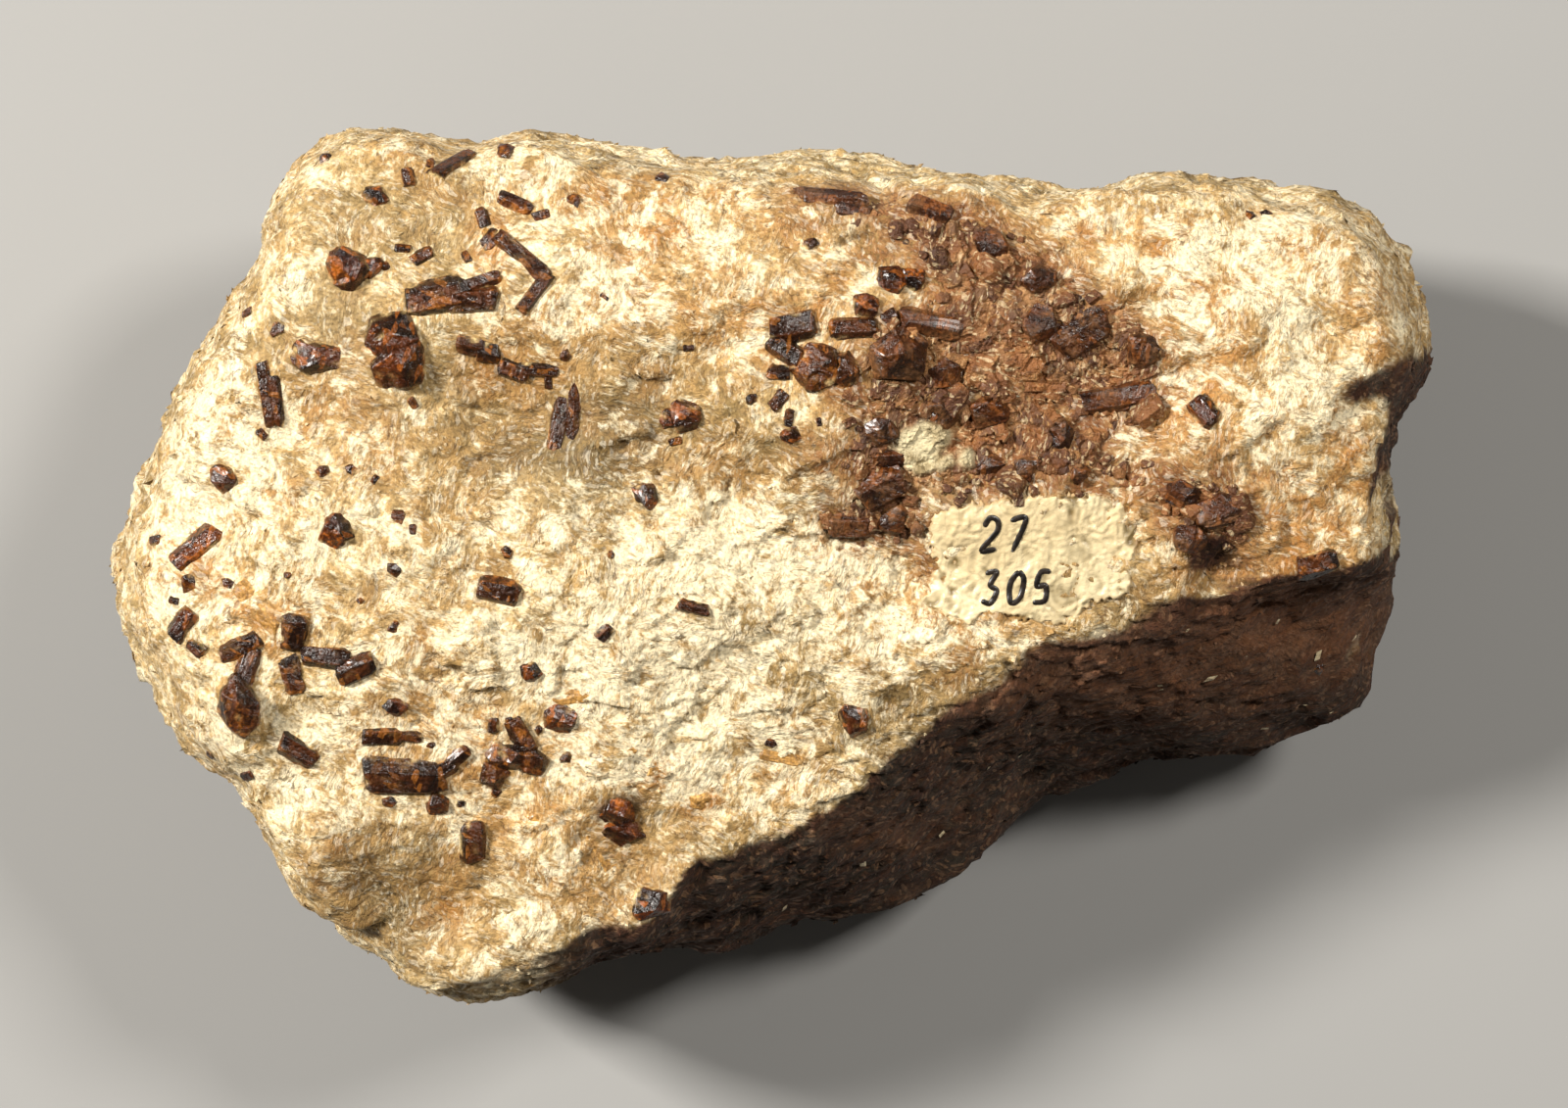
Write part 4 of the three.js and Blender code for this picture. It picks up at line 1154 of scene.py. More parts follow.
# The larger crystals that stand out of the rusty mass
MASS_CRYSTALS = [
    grain((914, 364), 62, 56, 30), prism((952, 330), 62, 24, -12), prism((1140, 405), 78, 32, 10),
    prism((868, 536), 44, 24, 0), prism((916, 466), 46, 20, 4), prism((900, 496), 44, 40, 30),
    grain((1082, 442), 26, 32, 0), grain((1101, 482), 22, 20, 0), grain((1010, 474), 30, 24, 10),
    grain((1050, 476), 30, 26, 50), grain((1166, 356), 34, 34, 15), prism((1106, 340), 56, 36, 35),
    grain((1060, 330), 40, 32, 60), grain((964, 380), 36, 30, 15), grain((960, 420), 40, 30, -20),
    grain((1010, 420), 44, 34, 10), prism((950, 214), 40, 20, -20), prism((850, 202), 66, 18, -6),
    grain((1010, 250), 38, 30, -40), grain((1060, 285), 34, 28, 10), grain((900, 440), 34, 30, 0),
    grain((1244, 522), 50, 36, 10), grain((1206, 504), 32, 26, 0), grain((912, 530), 34, 28, 25),
    grain((1214, 550), 34, 30, 0), prism((871, 216), 32, 16, -8),
]


def prism_outline(rng, length, width, height):
    """Corners of a broken six-sided column along X."""
    sides = 6
    angles = np.arange(sides) * 2 * np.pi / sides + rng.uniform(-0.3, 0.3)
    angles += rng.uniform(-0.16, 0.16, sides)
    points = []
    for station, small in ((-0.5, 0.84), (-0.4, 1.0), (0.36, 1.0), (0.5, 0.72)):
        lean = rng.uniform(-0.07, 0.07) * np.sign(station)
        for angle in angles:
            radius = 0.53 * small * rng.uniform(0.86, 1.06)
            y, z = radius * math.cos(angle), radius * math.sin(angle)
            shift = station + lean * 2 * y + rng.uniform(-0.05, 0.05)
            points.append((shift * length, y * width, z * height))
    return np.array(points)


def grain_outline(rng, length, width, height):
    """Corners of a many-faced ball with uneven faces: scattered directions."""
    count = 15
    index = np.arange(count) + 0.5
    lift = 1 - 2 * index / count
    turn = index * GOLDEN_TURN + rng.uniform(0, 6.28)
    level = np.sqrt(1 - lift**2)
    ways = np.column_stack([level * np.cos(turn), level * np.sin(turn), lift])
    ways += rng.uniform(-0.3, 0.3, ways.shape)
    ways /= np.linalg.norm(ways, axis=1, keepdims=True)
    return ways * 0.56 * np.array([length, width, height])


# How far apart the surface is sampled for a crystal's seat
SEAT_STEP = 1.2


def seats(crystals):
    """Where each crystal meets the stone, and the way out of the stone there."""
    middles = on_stone([crystal["at"] for crystal in crystals])
    ends = np.zeros_like(middles)
    for i, crystal in enumerate(crystals):
        turn = math.radians(crystal["turn"])
        reach = 0.3 * crystal["long"] * PIXEL
        ends[i] = (math.cos(turn) * reach, math.sin(turn) * reach, 0)
    places = (middles, middles + ends, middles - ends)
    normals = sum(outward(place, SEAT_STEP) for place in places)
    return middles, normals / np.linalg.norm(normals, axis=1, keepdims=True)


# How often each edge of a glossy crystal and of a dull one is cut
CRYSTAL_CUTS = 4
DULL_CUTS = 3

# Height for a crystal's width, and its bevel and deepest chips for its smallest side
CRYSTAL_FLATNESS = 0.8
BEVEL = 0.018
CHIP_DEPTH = 0.3


def crystal_solid(corners, bevel, cuts):
    """A bevelled solid round the corners: points, outward directions and small triangles."""
    work = bmesh.new()
    hull = bmesh.ops.convex_hull(work, input=[work.verts.new(point) for point in corners])
    loose = [item for item in hull["geom_interior"] if isinstance(item, bmesh.types.BMVert)]
    bmesh.ops.delete(work, geom=loose, context="VERTS")
    bmesh.ops.dissolve_limit(
        work, angle_limit=0.14, use_dissolve_boundaries=False, verts=work.verts[:],
        edges=work.edges[:],
    )
    bmesh.ops.bevel(
        work, geom=work.edges[:], offset=bevel, segments=1, affect="EDGES", clamp_overlap=True,
    )
    bmesh.ops.triangulate(work, faces=work.faces[:])
    bmesh.ops.subdivide_edges(work, edges=work.edges[:], cuts=cuts, use_grid_fill=True)
    bmesh.ops.triangulate(work, faces=work.faces[:])
    work.normal_update()
    work.verts.index_update()
    spots = np.array([vert.co for vert in work.verts])
    normals = np.array([vert.normal for vert in work.verts])
    triangles = np.array([[vert.index for vert in face.verts] for face in work.faces])
    work.free()
    return spots, normals, triangles


def crystal_basis(crystal, up):
    """The crystal's own directions as columns: along it, across it and out of the stone."""
    angle = math.radians(crystal["turn"])
    along = np.array([math.cos(angle), math.sin(angle), 0])
    along[2] = -(along @ up) / max(up[2], 0.35)
    along -= up * (along @ up)
    along /= np.linalg.norm(along)
    return np.column_stack([along, np.cross(up, along), up])


def crystal_mesh(crystal, seat, rng, extra, cuts):
    """One crystal, roughened, chipped and set in the stone: points in mm, triangles, values."""
    length = crystal["long"] * PIXEL + 2 * extra
    width = crystal["wide"] * PIXEL + 2 * extra
    height = crystal["wide"] * CRYSTAL_FLATNESS * PIXEL + 2 * extra
    small = min(length, width, height)
    outline = prism_outline if crystal["kind"] == "prism" else grain_outline
    corners = outline(rng, length, width, height)
    spots, normals, triangles = crystal_solid(corners, BEVEL * small, cuts)
    seed = int(rng.integers(1, 9999))
    stretch = np.array([0.3, 1, 1]) if crystal["kind"] == "prism" else np.ones(3)
    face = np.clip(0.5 + 1.3 * noise(normals, 0.9, seed + 5), 0, 1)
    rough = 0.026 * small * noise(spots * stretch, 0.14 * small, seed)
    rough += 0.02 * small * noise(spots * stretch, 0.5 * small, seed + 3)
    chips = np.maximum(noise(spots, 0.4 * small, seed + 7) - 0.3, 0)
    rough -= CHIP_DEPTH * small * chips
    clinging = 0.8 * noise(spots, 0.7, seed + 11) + 1.2 * chips
    above = np.clip(spots[:, 2] / height + 0.5, 0, 1)
    foot = ramp(1.75 - 1.95 * above + clinging, 0.45, 0.85)
    dust = np.clip(1.4 - 1.7 * above + clinging, 0, 1)
    spots = spots + normals * rough[:, None]
    middle, up = seat
    sunk = crystal["sunk"] * crystal["wide"] * CRYSTAL_FLATNESS * PIXEL
    points = spots @ crystal_basis(crystal, up).T + middle - up * sunk
    return points, triangles, {"dust": dust, "face": face, "foot": foot}


def set_crystals(crystals, rng, extra, cuts):
    """One mesh of several crystals, each in its seat."""
    meshes = [
        crystal_mesh(crystal, seat, rng, extra, cuts)
        for crystal, seat in zip(crystals, zip(*seats(crystals)))
    ]
    return joined_meshes(meshes)


def joined_meshes(meshes):
    """Several (points, triangles, values) meshes as one."""
    points, faces, start = [], [], 0
    for spots, triangles, _ in meshes:
        points.append(spots)
        faces.append(triangles + start)
        start += len(spots)
    values = {
        key: np.concatenate([each[key] for *_, each in meshes]) for key in meshes[0][2]
    }
    return np.concatenate(points), np.concatenate(faces), values


# The stone and its flakes


# Crystals' seats, in mm: the level above which they lie, and how far down and up the stone moves
POCKETS_ABOVE = 22
DEEPEST_MOAT = 0.55
COLLAR_HEIGHT = 0.22


def small_crystal(x, y, size, shape=grain, turn=0.0):
    """A short crystal of a size in pixels."""
    return shape((x, y), size * 1.2, size * 0.95, turn)


def beyond_crystal(crystal, middle, x, y):
    """How far places lie outside a crystal's plan, in mm."""
    turn = math.radians(crystal["turn"])
    dx, dy = x - middle[0], y - middle[1]
    along = dx * math.cos(turn) + dy * math.sin(turn)
    across = dy * math.cos(turn) - dx * math.sin(turn)
    half_long, half_wide = crystal["long"] * PIXEL / 2, crystal["wide"] * PIXEL / 2
    return np.hypot(np.maximum(np.abs(along) - half_long + 0.3, 0),
                    np.maximum(np.abs(across) - half_wide + 0.3, 0))


def pockets(points):
    """How much each point belongs to a crystal's seat, and how far the stone moves there: down
    under the crystal and close round it, then a little up."""
    crystals = [part for parts in CRYSTALS.values() for part in parts]
    crystals += [small_crystal(*stub) for stub in STUBS]
    seated, moved = np.zeros(len(points)), np.zeros(len(points))
    top = points[:, 2] > POCKETS_ABOVE
    x, y, _ = points[top].T
    inside, lift = np.zeros(len(x)), np.zeros(len(x))
    for crystal, middle in zip(crystals, on_stone([part["at"] for part in crystals])):
        beyond = beyond_crystal(crystal, middle, x, y)
        inside = np.maximum(inside, 1 - ramp(beyond, 0.4, 1.6))
        deep = min(DEEPEST_MOAT, 0.15 * crystal["wide"] * PIXEL)
        lift = np.minimum(lift, -deep * (1 - ramp(beyond, 0.25, 0.85)))
        collar = COLLAR_HEIGHT * np.exp(-((beyond - 1.25) / 0.4) ** 2) * (lift > -0.05)
        lift = np.where(collar > lift, np.maximum(lift, collar * (lift >= 0)), lift)
    seated[top], moved[top] = inside, lift
    return seated, moved


# Flat breaks of the stone: size and height in mm, and seed
FLAT_BREAKS = ((4.6, 0.2, 64), (2.0, 0.25, 65))

# Edges of thin sheets on the sides: how far apart and how high
SLAT_STEP = 1.1
SLAT_HEIGHT = 0.34


def stone_roughness(points, upper):
    """Swells, flat breaks and, on the sides, the edges of thin sheets: heights in mm."""
    bent = points + 0.5 * np.column_stack([noise(points, 3, 61 + i) for i in range(3)])
    stretched = bent * np.array([1.0, 1.35, 1.0])
    rough = 0.3 * layered(points, 5.5, 41) + 0.1 * noise(bent, 1.2, 71)
    for size, height, seed in FLAT_BREAKS:
        rough += height * plates(stretched, size, seed)[0]
    rough += 0.2 * plates(bent, 1.0, 67)[0] * upper
    sheet = points @ np.array(SHEET_NORMAL) + 0.5 * noise(points, 4, 90)
    slats = np.abs((sheet / SLAT_STEP) % 1 - 0.5)
    ragged = 0.4 * noise(points * np.array([1, 1, 2.5]), 3, 93)
    return rough + (1 - upper) * (SLAT_HEIGHT * slats + ragged)


def stone_surface(steps):
    """The stone's points, triangles and smooth outward directions."""
    ways, triangles = unit_sphere(steps)
    ways = ways * ROUNDNESS
    ways /= np.linalg.norm(ways, axis=1, keepdims=True)
    points = surface_along(ways)
    up = outward(points)
    rough = stone_roughness(points, ramp(up[:, 2], 0.2, 0.7))
    seated, moved = pockets(points)
    rough = rough * (1 - 0.75 * seated) + moved
    foot = ramp(points[:, 2], 0.1, 3.0)
    points = points + up * (rough * (0.25 + 0.75 * foot))[:, None]
    points[:, 2] = np.maximum(points[:, 2], 0)
    return points, triangles, up


def scatter(points, triangles, count, rng, keep):
    """Random places on a surface, spread by area times a weight for each triangle."""
    a, b, c = (points[triangles[:, i]] for i in range(3))
    cross = np.cross(b - a, c - a)
    weight = np.linalg.norm(cross, axis=1) * keep
    chosen = rng.choice(len(triangles), count, p=weight / weight.sum())
    u, v = rng.random(count), rng.random(count)
    flip = u + v > 1
    u, v = np.where(flip, 1 - u, u), np.where(flip, 1 - v, v)
    a, b, c = a[chosen], b[chosen], c[chosen]
    spots = a + (b - a) * u[:, None] + (c - a) * v[:, None]
    ups = cross[chosen] / np.maximum(np.linalg.norm(cross[chosen], axis=1, keepdims=True), 1e-9)
    return spots, ups


def blades(spots, ups, rng, long, wide, thick, tilt, turn):
    """A thin four-cornered blade of mica at each place, eight triangles each."""
    count = len(spots)
    lean = ups + rng.normal(0, tilt, (count, 3))
    lean /= np.linalg.norm(lean, axis=1, keepdims=True)
    along, across = fibre_frame(spots, lean)
    spin = rng.normal(0, turn, count)[:, None]
    way = along * np.cos(spin) + across * np.sin(spin)
    side = np.cross(lean, way)
    size = rng.lognormal(0, 0.35, count)[:, None]
    half_long, half_wide = long / 2 * size, wide / 2 * size * rng.uniform(0.6, 1.4, (count, 1))
    skew = rng.uniform(-0.5, 0.5, (count, 1)) * half_long
    corners = np.stack(
        [spots + way * half_long, spots + side * half_wide + way * skew,
         spots - way * half_long, spots - side * half_wide - way * skew,
         spots + lean * thick, spots - lean * thick],
        axis=1,
    )
    one = np.array([(0, 1, 4), (1, 2, 4), (2, 3, 4), (3, 0, 4),
                    (1, 0, 5), (2, 1, 5), (3, 2, 5), (0, 3, 5)])
    faces = one[None] + 6 * np.arange(count)[:, None, None]
    return corners.reshape(-1, 3), faces.reshape(-1, 3)


# Settings


class StoneSettings(PropertyGroup):
    """Sizes and colours of the stone and its flakes."""

    fineness: IntProperty(
        name="Fineness", description="Steps along each edge of the stone's first triangles",
        default=98, min=10, max=99,
    )
    flakes: IntProperty(
        name="Flakes", description="Blades of mica on the upper face, and as many on the sides",
        default=12000, min=0, max=24000,
    )
    cream: FloatVectorProperty(
        name="Cream", description="Main colour of the schist", subtype="COLOR",
        default=colour("#cbac76")[:3], min=0, max=1,
    )
    white: FloatVectorProperty(
        name="Silky white", description="Colour of its palest mica", subtype="COLOR",
        default=colour("#f4e4be")[:3], min=0, max=1,
    )
    ochre: FloatVectorProperty(
        name="Ochre", description="Colour of its iron stains", subtype="COLOR",
        default=colour("#b5742f")[:3], min=0, max=1,
    )


class CrystalSettings(PropertyGroup):
    """Sizes and colours of the crystals."""

    swell: FloatProperty(
        name="Swell", description="How far a crystal is grown to fill its pocket",
        default=0.22 * MM, min=0, max=0.5 * MM, unit="LENGTH",
    )
    grains: IntProperty(
        name="Grains", description="Small grains in the rusty mass", default=520, min=0, max=2000,
    )


class PatchSettings(PropertyGroup):
    """Size and colour of the painted patch."""

    proud: FloatProperty(
        name="Proud", description="How far the coat stands above the stone",
        default=0.34 * MM, min=0.05 * MM, max=0.6 * MM, unit="LENGTH",
    )
    lacquer: FloatVectorProperty(
        name="Lacquer", description="Colour of the coat", subtype="COLOR",
        default=colour("#dccba2")[:3], min=0, max=1,
    )


class StageSettings(PropertyGroup):
    """Floor, light and camera."""

    floor: FloatVectorProperty(
        name="Floor", description="Colour of the floor", subtype="COLOR",
        default=(0.3, 0.295, 0.285), min=0, max=1,
    )
    key_power: FloatProperty(
        name="Key light", description="Strength of the light from the far left in watts",
        default=21.4, min=0, max=200,
    )
    second_power: FloatProperty(
        name="Second light", description="Strength of the light from the far right in watts",
        default=7.6, min=0, max=200,
    )


# Operators


# Floor and lights in metres
FLOOR_HALF = 1.5
LAMP_SIZE = {"key_light": 0.18, "second_light": 0.2}
LAMP_PLACE = {"key_light": (-0.77, 0.3, 0.72), "second_light": (0.5, 0.36, 0.84)}
LAMP_TONE = (1.0, 0.97, 0.92)
LAMP_AIM = (0, 0, 0.03)
ROOM_TONE = (1.0, 0.95, 0.88, 1)
ROOM_STRENGTH = 0.085
SENSOR_WIDTH = 36


class SPECIMEN_OT_stage(Operator):
    """Adds the floor, the lights and the camera that looks straight down"""

    bl_idname = "specimen.stage"
    bl_label = "Stage"

    def execute(self, context):
        settings = context.scene.specimen_stage
        self.floor(context, tuple(settings.floor))
        self.lamp(context, "key_light", settings.key_power)
        self.lamp(context, "second_light", settings.second_power)
        world = bpy.data.worlds.new("Soft room")
        world.use_nodes = True
        backdrop = world.node_tree.nodes["Background"]
        backdrop.inputs["Color"].default_value = ROOM_TONE
        backdrop.inputs["Strength"].default_value = ROOM_STRENGTH
        context.scene.world = world
        self.camera(context)
        context.scene.view_settings.view_transform = "Standard"
        return {"FINISHED"}

    def floor(self, context, tone):
        mesh = bpy.data.meshes.new("floor")
        signs = ((-1, -1), (1, -1), (1, 1), (-1, 1))
        mesh.from_pydata([(x * FLOOR_HALF, y * FLOOR_HALF, 0) for x, y in signs], [], [(0, 1, 2, 3)])
        mesh.materials.append(pale_floor(tone))
        floor = bpy.data.objects.new("floor", mesh)
        context.collection.objects.link(floor)

    def lamp(self, context, name, power):
        """A square soft light that is aimed at the stone."""
        lamp = bpy.data.lights.new(name, "AREA")
        lamp.size = LAMP_SIZE[name]
        lamp.energy = power
        lamp.color = LAMP_TONE
        holder = bpy.data.objects.new(name, lamp)
        holder.location = LAMP_PLACE[name]
        aim = Vector(LAMP_AIM) - holder.location
        holder.rotation_euler = aim.to_track_quat("-Z", "Y").to_euler()
        context.collection.objects.link(holder)

    def camera(self, context):
        """Straight above the stone, framed as the view from which all places are read."""
        lens = bpy.data.cameras.new("camera")
        lens.sensor_width = SENSOR_WIDTH
        lens.lens = SENSOR_WIDTH * EYE_ABOVE_RIM / (PICTURE_WIDTH * PIXEL)
        eye = bpy.data.objects.new("camera", lens)
        x, y = seen_from_above(*PICTURE_MIDDLE, RIM_LEVEL)
        eye.location = Vector((x, y, EYE_ABOVE_RIM + RIM_LEVEL)) * MM
        context.collection.objects.link(eye)
        context.scene.camera = eye


# How deep a flake sits in the stone, and how near the floor one may come
FLAKE_SINK = 0.01
FLAKE_FLOOR = 0.05

# Length, width and half thickness in mm of each kind of flake, then its tilt and turn
UPPER_FLAKE = ((0.5, 0.3, 0.025), 0.08, 1.2)
SIDE_FLAKE = ((0.8, 0.32, 0.025), 0.07, 0.5)
GLINT = ((0.9, 0.6, 0.06), 0.2, 1.0)


class SPECIMEN_OT_stone(Operator):
    """Builds the stone and the mica flakes that cover it"""

    bl_idname = "specimen.stone"
    bl_label = "Stone"

    def execute(self, context):
        settings = context.scene.specimen_stone
        steps = settings.fineness
        count = settings.flakes // 1
        points, triangles, up = stone_surface(steps)
        look = mica_schist(shared_groups(), settings)
        make_piece("sericite_stone", points, triangles, look, ["sericite_matrix"],
                   values=tints(points, up))
        rng = np.random.default_rng(11)
        upper = ramp(up[triangles].mean(axis=1)[:, 2], 0.2, 0.6)
        middle = points[triangles].mean(axis=1)
        for name, keep, kind in (
            ("upper_flakes", upper * self.bare(middle), UPPER_FLAKE),
            ("side_flakes", (1 - upper) * ramp(middle[:, 2], 2, 5), SIDE_FLAKE),
        ):
            spots, ups = scatter(points, triangles, count, rng, keep)
            values = tints(spots, outward(spots))
            values["tone"] = np.clip(rng.random(count) + 0.2 * values["pale"] - 0.1, 0, 1)
            self.lay(name, spots, ups, values, rng, look, *kind)
        self.glints(look, rng)
        return {"FINISHED"}

    def bare(self, middle):
        """How free each place is of paint, rust and crystals."""
        px, py = to_pixels(*middle.T)
        painted = ramp(outline_depth(PAINT_OUTLINE, px, py), -2, 2)
        rusty = 0.85 * ramp(outline_depth(MASS_OUTLINE, px, py), -8, 6)
        taken = 0.9 * ramp(pockets(middle)[0], 0.8, 1.0)
        return (1 - painted) * (1 - rusty) * (1 - taken)

    def glints(self, look, rng):
        """Bright flakes scattered on the dark side, coloured white as painted glints and kept out of
        the rind's painted shade.
        """
        spots = on_stone(GLINTS)
        ups = outward(spots)
        values = {key: 0 * value for key, value in tints(spots, ups).items()}
        values["tone"] = np.ones(len(spots))
        self.lay("side_glints", spots + 0.2 * ups, ups, values, rng, look, *GLINT)

    def lay(self, name, spots, ups, values, rng, look, size, tilt, turn):
        corners, faces = blades(spots - FLAKE_SINK * ups, ups, rng, *size, tilt, turn)
        corners[:, 2] = np.maximum(corners[:, 2], FLAKE_FLOOR)
        values = {key: np.repeat(value, 6) for key, value in values.items()}
        make_piece(name, corners, faces, look, smooth=False, values=values)


class SPECIMEN_OT_crystals(Operator):
    """Builds the brown crystals that stand in the stone's face"""

    bl_idname = "specimen.crystals"
    bl_label = "Crystals"

    def execute(self, context):
        swell = context.scene.specimen_crystals.swell / MM
        groups = shared_groups()
        looks = {kind: crystal_look(groups, kind) for kind in ("staurolite", "garnet")}
        cuts = CRYSTAL_CUTS
        for number, (name, parts) in enumerate(CRYSTALS.items()):
            rng = np.random.default_rng(100 + number)
            points, faces, values = set_crystals(parts, rng, swell, cuts)
            slot = name.split("_")[0]
            make_piece("crystal_" + name, points, faces, looks[slot], [name],
                       smooth=False, values=values)
        rng = np.random.default_rng(77)
        stubs = []
        for x, y, size in STUBS:
            shape = grain if rng.random() < 0.6 else prism
            stubs.append(small_crystal(x, y, size, shape, rng.uniform(0, 180)))
        points, faces, values = set_crystals(stubs, rng, 0.05, 1)
        make_piece("small_crystals", points, faces, looks["staurolite"],
                   smooth=False, values=values)
        points, faces, values = set_crystals(HONEY_CRYSTALS, rng, 0, min(cuts, DULL_CUTS))
        make_piece("honey_crystals", points, faces, crystal_look(groups, "honey"),
                   smooth=False, values=values)
        return {"FINISHED"}


def outline_walk(outline, step, rough, rng):
    """Points along a closed outline every step pixels, pushed in and out."""
    walk = []
    for (x0, y0), (x1, y1) in zip(outline, outline[1:] + outline[:1]):
        length = math.hypot(x1 - x0, y1 - y0)
        for i in range(max(1, round(length / step))):
            t = i * step / length
            push = rng.uniform(-rough, rough)
            walk.append((x0 + (x1 - x0) * t + (y1 - y0) / length * push,
                         y0 + (y1 - y0) * t - (x1 - x0) / length * push))
    return walk


def cream_remnants(points):
    """Where cream mica shows through the rusty crust."""
    px, py = to_pixels(*points.T)
    rough = 0.5 * layered(points, 3, 17)
    return ramp(spot_strength(CREAM_SPOTS, px, py) + rough, 0.45, 0.75)


def plan_mesh(edge, spacing):
    """Triangles that fill a closed outline: places in pixels and faces."""
    xs, ys = [p[0] for p in edge], [p[1] for p in edge]
    columns = np.arange(min(xs), max(xs), spacing)
    rows = np.arange(min(ys), max(ys), spacing * 0.87)
    grid = np.array([(x + (j % 2) * spacing / 2, y) for j, y in enumerate(rows) for x in columns])
    inner = grid[outline_depth(edge, grid[:, 0], grid[:, 1]) > 0.55 * spacing]
    flat = [Vector(place) for place in [*edge, *inner]]
    loop = [(i, (i + 1) % len(edge)) for i in range(len(edge))]
    spots, _, faces, *_ = delaunay_2d_cdt(flat, loop, [list(range(len(edge)))], 1, 1e-4)
    return np.array(spots), np.array([face for face in faces if len(face) == 3])


def rim_walls(faces, count):
    """Triangles that join the edge of a top layer to the layer count points below it."""
    links = [(face[i], face[(i + 1) % 3]) for face in faces.tolist() for i in range(3)]
    known = set(links)
    rim = [(a, b) for a, b in links if (b, a) not in known]
    return [(b, a, a + count) for a, b in rim] + [(b, a + count, b + count) for a, b in rim]


def coat_mesh(outline, spacing, rough, rng, lift, depth):
    """A closed coat over an outline: lift(points, inwards) is its height above the stone."""
    edge = outline_walk(outline, spacing, rough, rng)
    spots, faces = plan_mesh(edge, spacing)
    ground = on_stone(spots)
    up = outward(ground)
    height, extra = lift(ground, outline_depth(edge, spots[:, 0], spots[:, 1]))
    top = ground + up * height[:, None]
    bottom = ground - up * depth
    a, b, c = top[faces[0]]
    if np.cross(b - a, c - a)[2] < 0:
        faces = faces[:, ::-1]
    count = len(spots)
    every = np.concatenate([faces, faces[:, ::-1] + count, np.array(rim_walls(faces, count))])
    return np.concatenate([top, bottom]), every, {k: np.tile(v, 2) for k, v in extra.items()}


CRUST_STEP, QUICK_CRUST_STEP = 2.6, 9
PATCH_STEP, QUICK_PATCH_STEP = 1.8, 6

# Where the rusty mass's grains are tried, in pixels
MASS_COLUMNS = (800, 1290)
MASS_ROWS = (180, 560)


class SPECIMEN_OT_rusty_mass(Operator):
    """Builds the rust-brown mass of grown-together crystals"""

    bl_idname = "specimen.rusty_mass"
    bl_label = "Rusty mass"

    def execute(self, context):
        groups = shared_groups()
        rng = np.random.default_rng(5)
        look = rust_crust(groups)

        def lift(ground, inwards):
            edge = ramp(inwards, 0, 14)
            large, large_tone = plates(ground, 2.4, 21)
            small, small_tone = plates(ground, 1.1, 22)
            knobs = 0.4 * large + 0.45 * small + 0.12 * noise(ground, 0.5, 25)
            cream = cream_remnants(ground)
            height = -0.3 + edge * (0.62 + knobs + 0.45 * cream)
            tone = 0.25 + 0.3 * large_tone + 0.3 * small_tone + 0.5 * layered(ground, 3, 28)
            return height, {"tone": np.clip(tone, 0, 1), "cream": cream}

        spacing = CRUST_STEP
        points, faces, values = coat_mesh(MASS_OUTLINE, spacing, 5, rng, lift, 0.9)
        make_piece("rusty_crust", points, faces, look, ["rusty_crystal_mass"],
                   smooth=False, values=values)
        self.grains(context, rng, look)
        self.crystals(groups)
        return {"FINISHED"}

    def grains(self, context, rng, look):
        count = context.scene.specimen_crystals.grains // 1
        xs = rng.uniform(*MASS_COLUMNS, count * 6)
        ys = rng.uniform(*MASS_ROWS, count * 6)
        inwards = outline_depth(MASS_OUTLINE, xs, ys) + rng.normal(0, 9, len(xs))
        rusty = (inwards > 3) & (spot_strength(CREAM_SPOTS, xs, ys) < 0.5)
        chosen = np.nonzero(rusty)[0][:count]
        crystals = []
        for i in chosen:
            size = rng.lognormal(2.15, 0.45)
            shape = grain if rng.random() < 0.65 else prism
            crystals.append(shape((xs[i], ys[i]), size * 1.3, size, rng.uniform(0, 180),
                                  rng.uniform(-0.3, 0.25)))
        meshes = []
        for crystal, seat in zip(crystals, zip(*seats(crystals))):
            spots, triangles, _ = crystal_mesh(crystal, seat, rng, 0, 0)
            tone = np.full(len(spots), rng.uniform(0.1, 0.8))
            meshes.append((spots, triangles, {"tone": tone, "cream": 0 * tone}))
        points, faces, values = joined_meshes(meshes)
        make_piece("rusty_grains", points, faces, look, smooth=False, values=values)

    def crystals(self, groups):
        look = crystal_look(groups, "rusty")
        rng = np.random.default_rng(9)
        cuts = DULL_CUTS
        parts = [{**part, "sunk": 0.0} for part in MASS_CRYSTALS]
        points, faces, values = set_crystals(parts, rng, 0.1, cuts)
        values["dust"] = np.clip(values["dust"] + 0.3, 0, 1)
        values["foot"] = 0 * values["foot"]
        make_piece("rusty_mass_crystals", points, faces, look, smooth=False,
                   values=values)


# Pen strokes of two rows of plain digits, each a list of places in a box 1 wide and 1 tall
DIGITS = {
    "2": [[(0.05, 0.75), (0.3, 1.0), (0.75, 0.92), (0.8, 0.6), (0.1, 0.05), (0.9, 0.08)]],
    "7": [[(0.05, 0.92), (0.9, 0.98), (0.4, 0.0)]],
    "3": [[(0.1, 0.92), (0.7, 0.98), (0.45, 0.58), (0.85, 0.4), (0.6, 0.02), (0.08, 0.1)]],
    "0": [[(0.5, 1.0), (0.12, 0.6), (0.3, 0.05), (0.78, 0.2), (0.85, 0.75), (0.5, 1.0)]],
    "5": [[(0.85, 0.98), (0.3, 0.95), (0.2, 0.55), (0.7, 0.55), (0.75, 0.12), (0.1, 0.05)]],
}
# Each row's digits and the lower left corner of its first one, in pixels
DIGIT_ROWS = [("27", (1000, 562)), ("305", (1000, 616))]

# Digits in pixels: height, step, width and slant, half the pen's width, and the written area
DIGIT_TALL = 34
DIGIT_STEP = 26
DIGIT_WIDE = 18
DIGIT_SLANT = 5
PEN_HALF = 3.7
WRITTEN_SPOT = [(1050, 572, 80, 52, 1.0)]

# The pen line's four rails: how far to the side, and how far above the coat in mm
PEN_RAILS = ((-1, -0.1), (-0.6, 0.09), (0.6, 0.09), (1, -0.1))


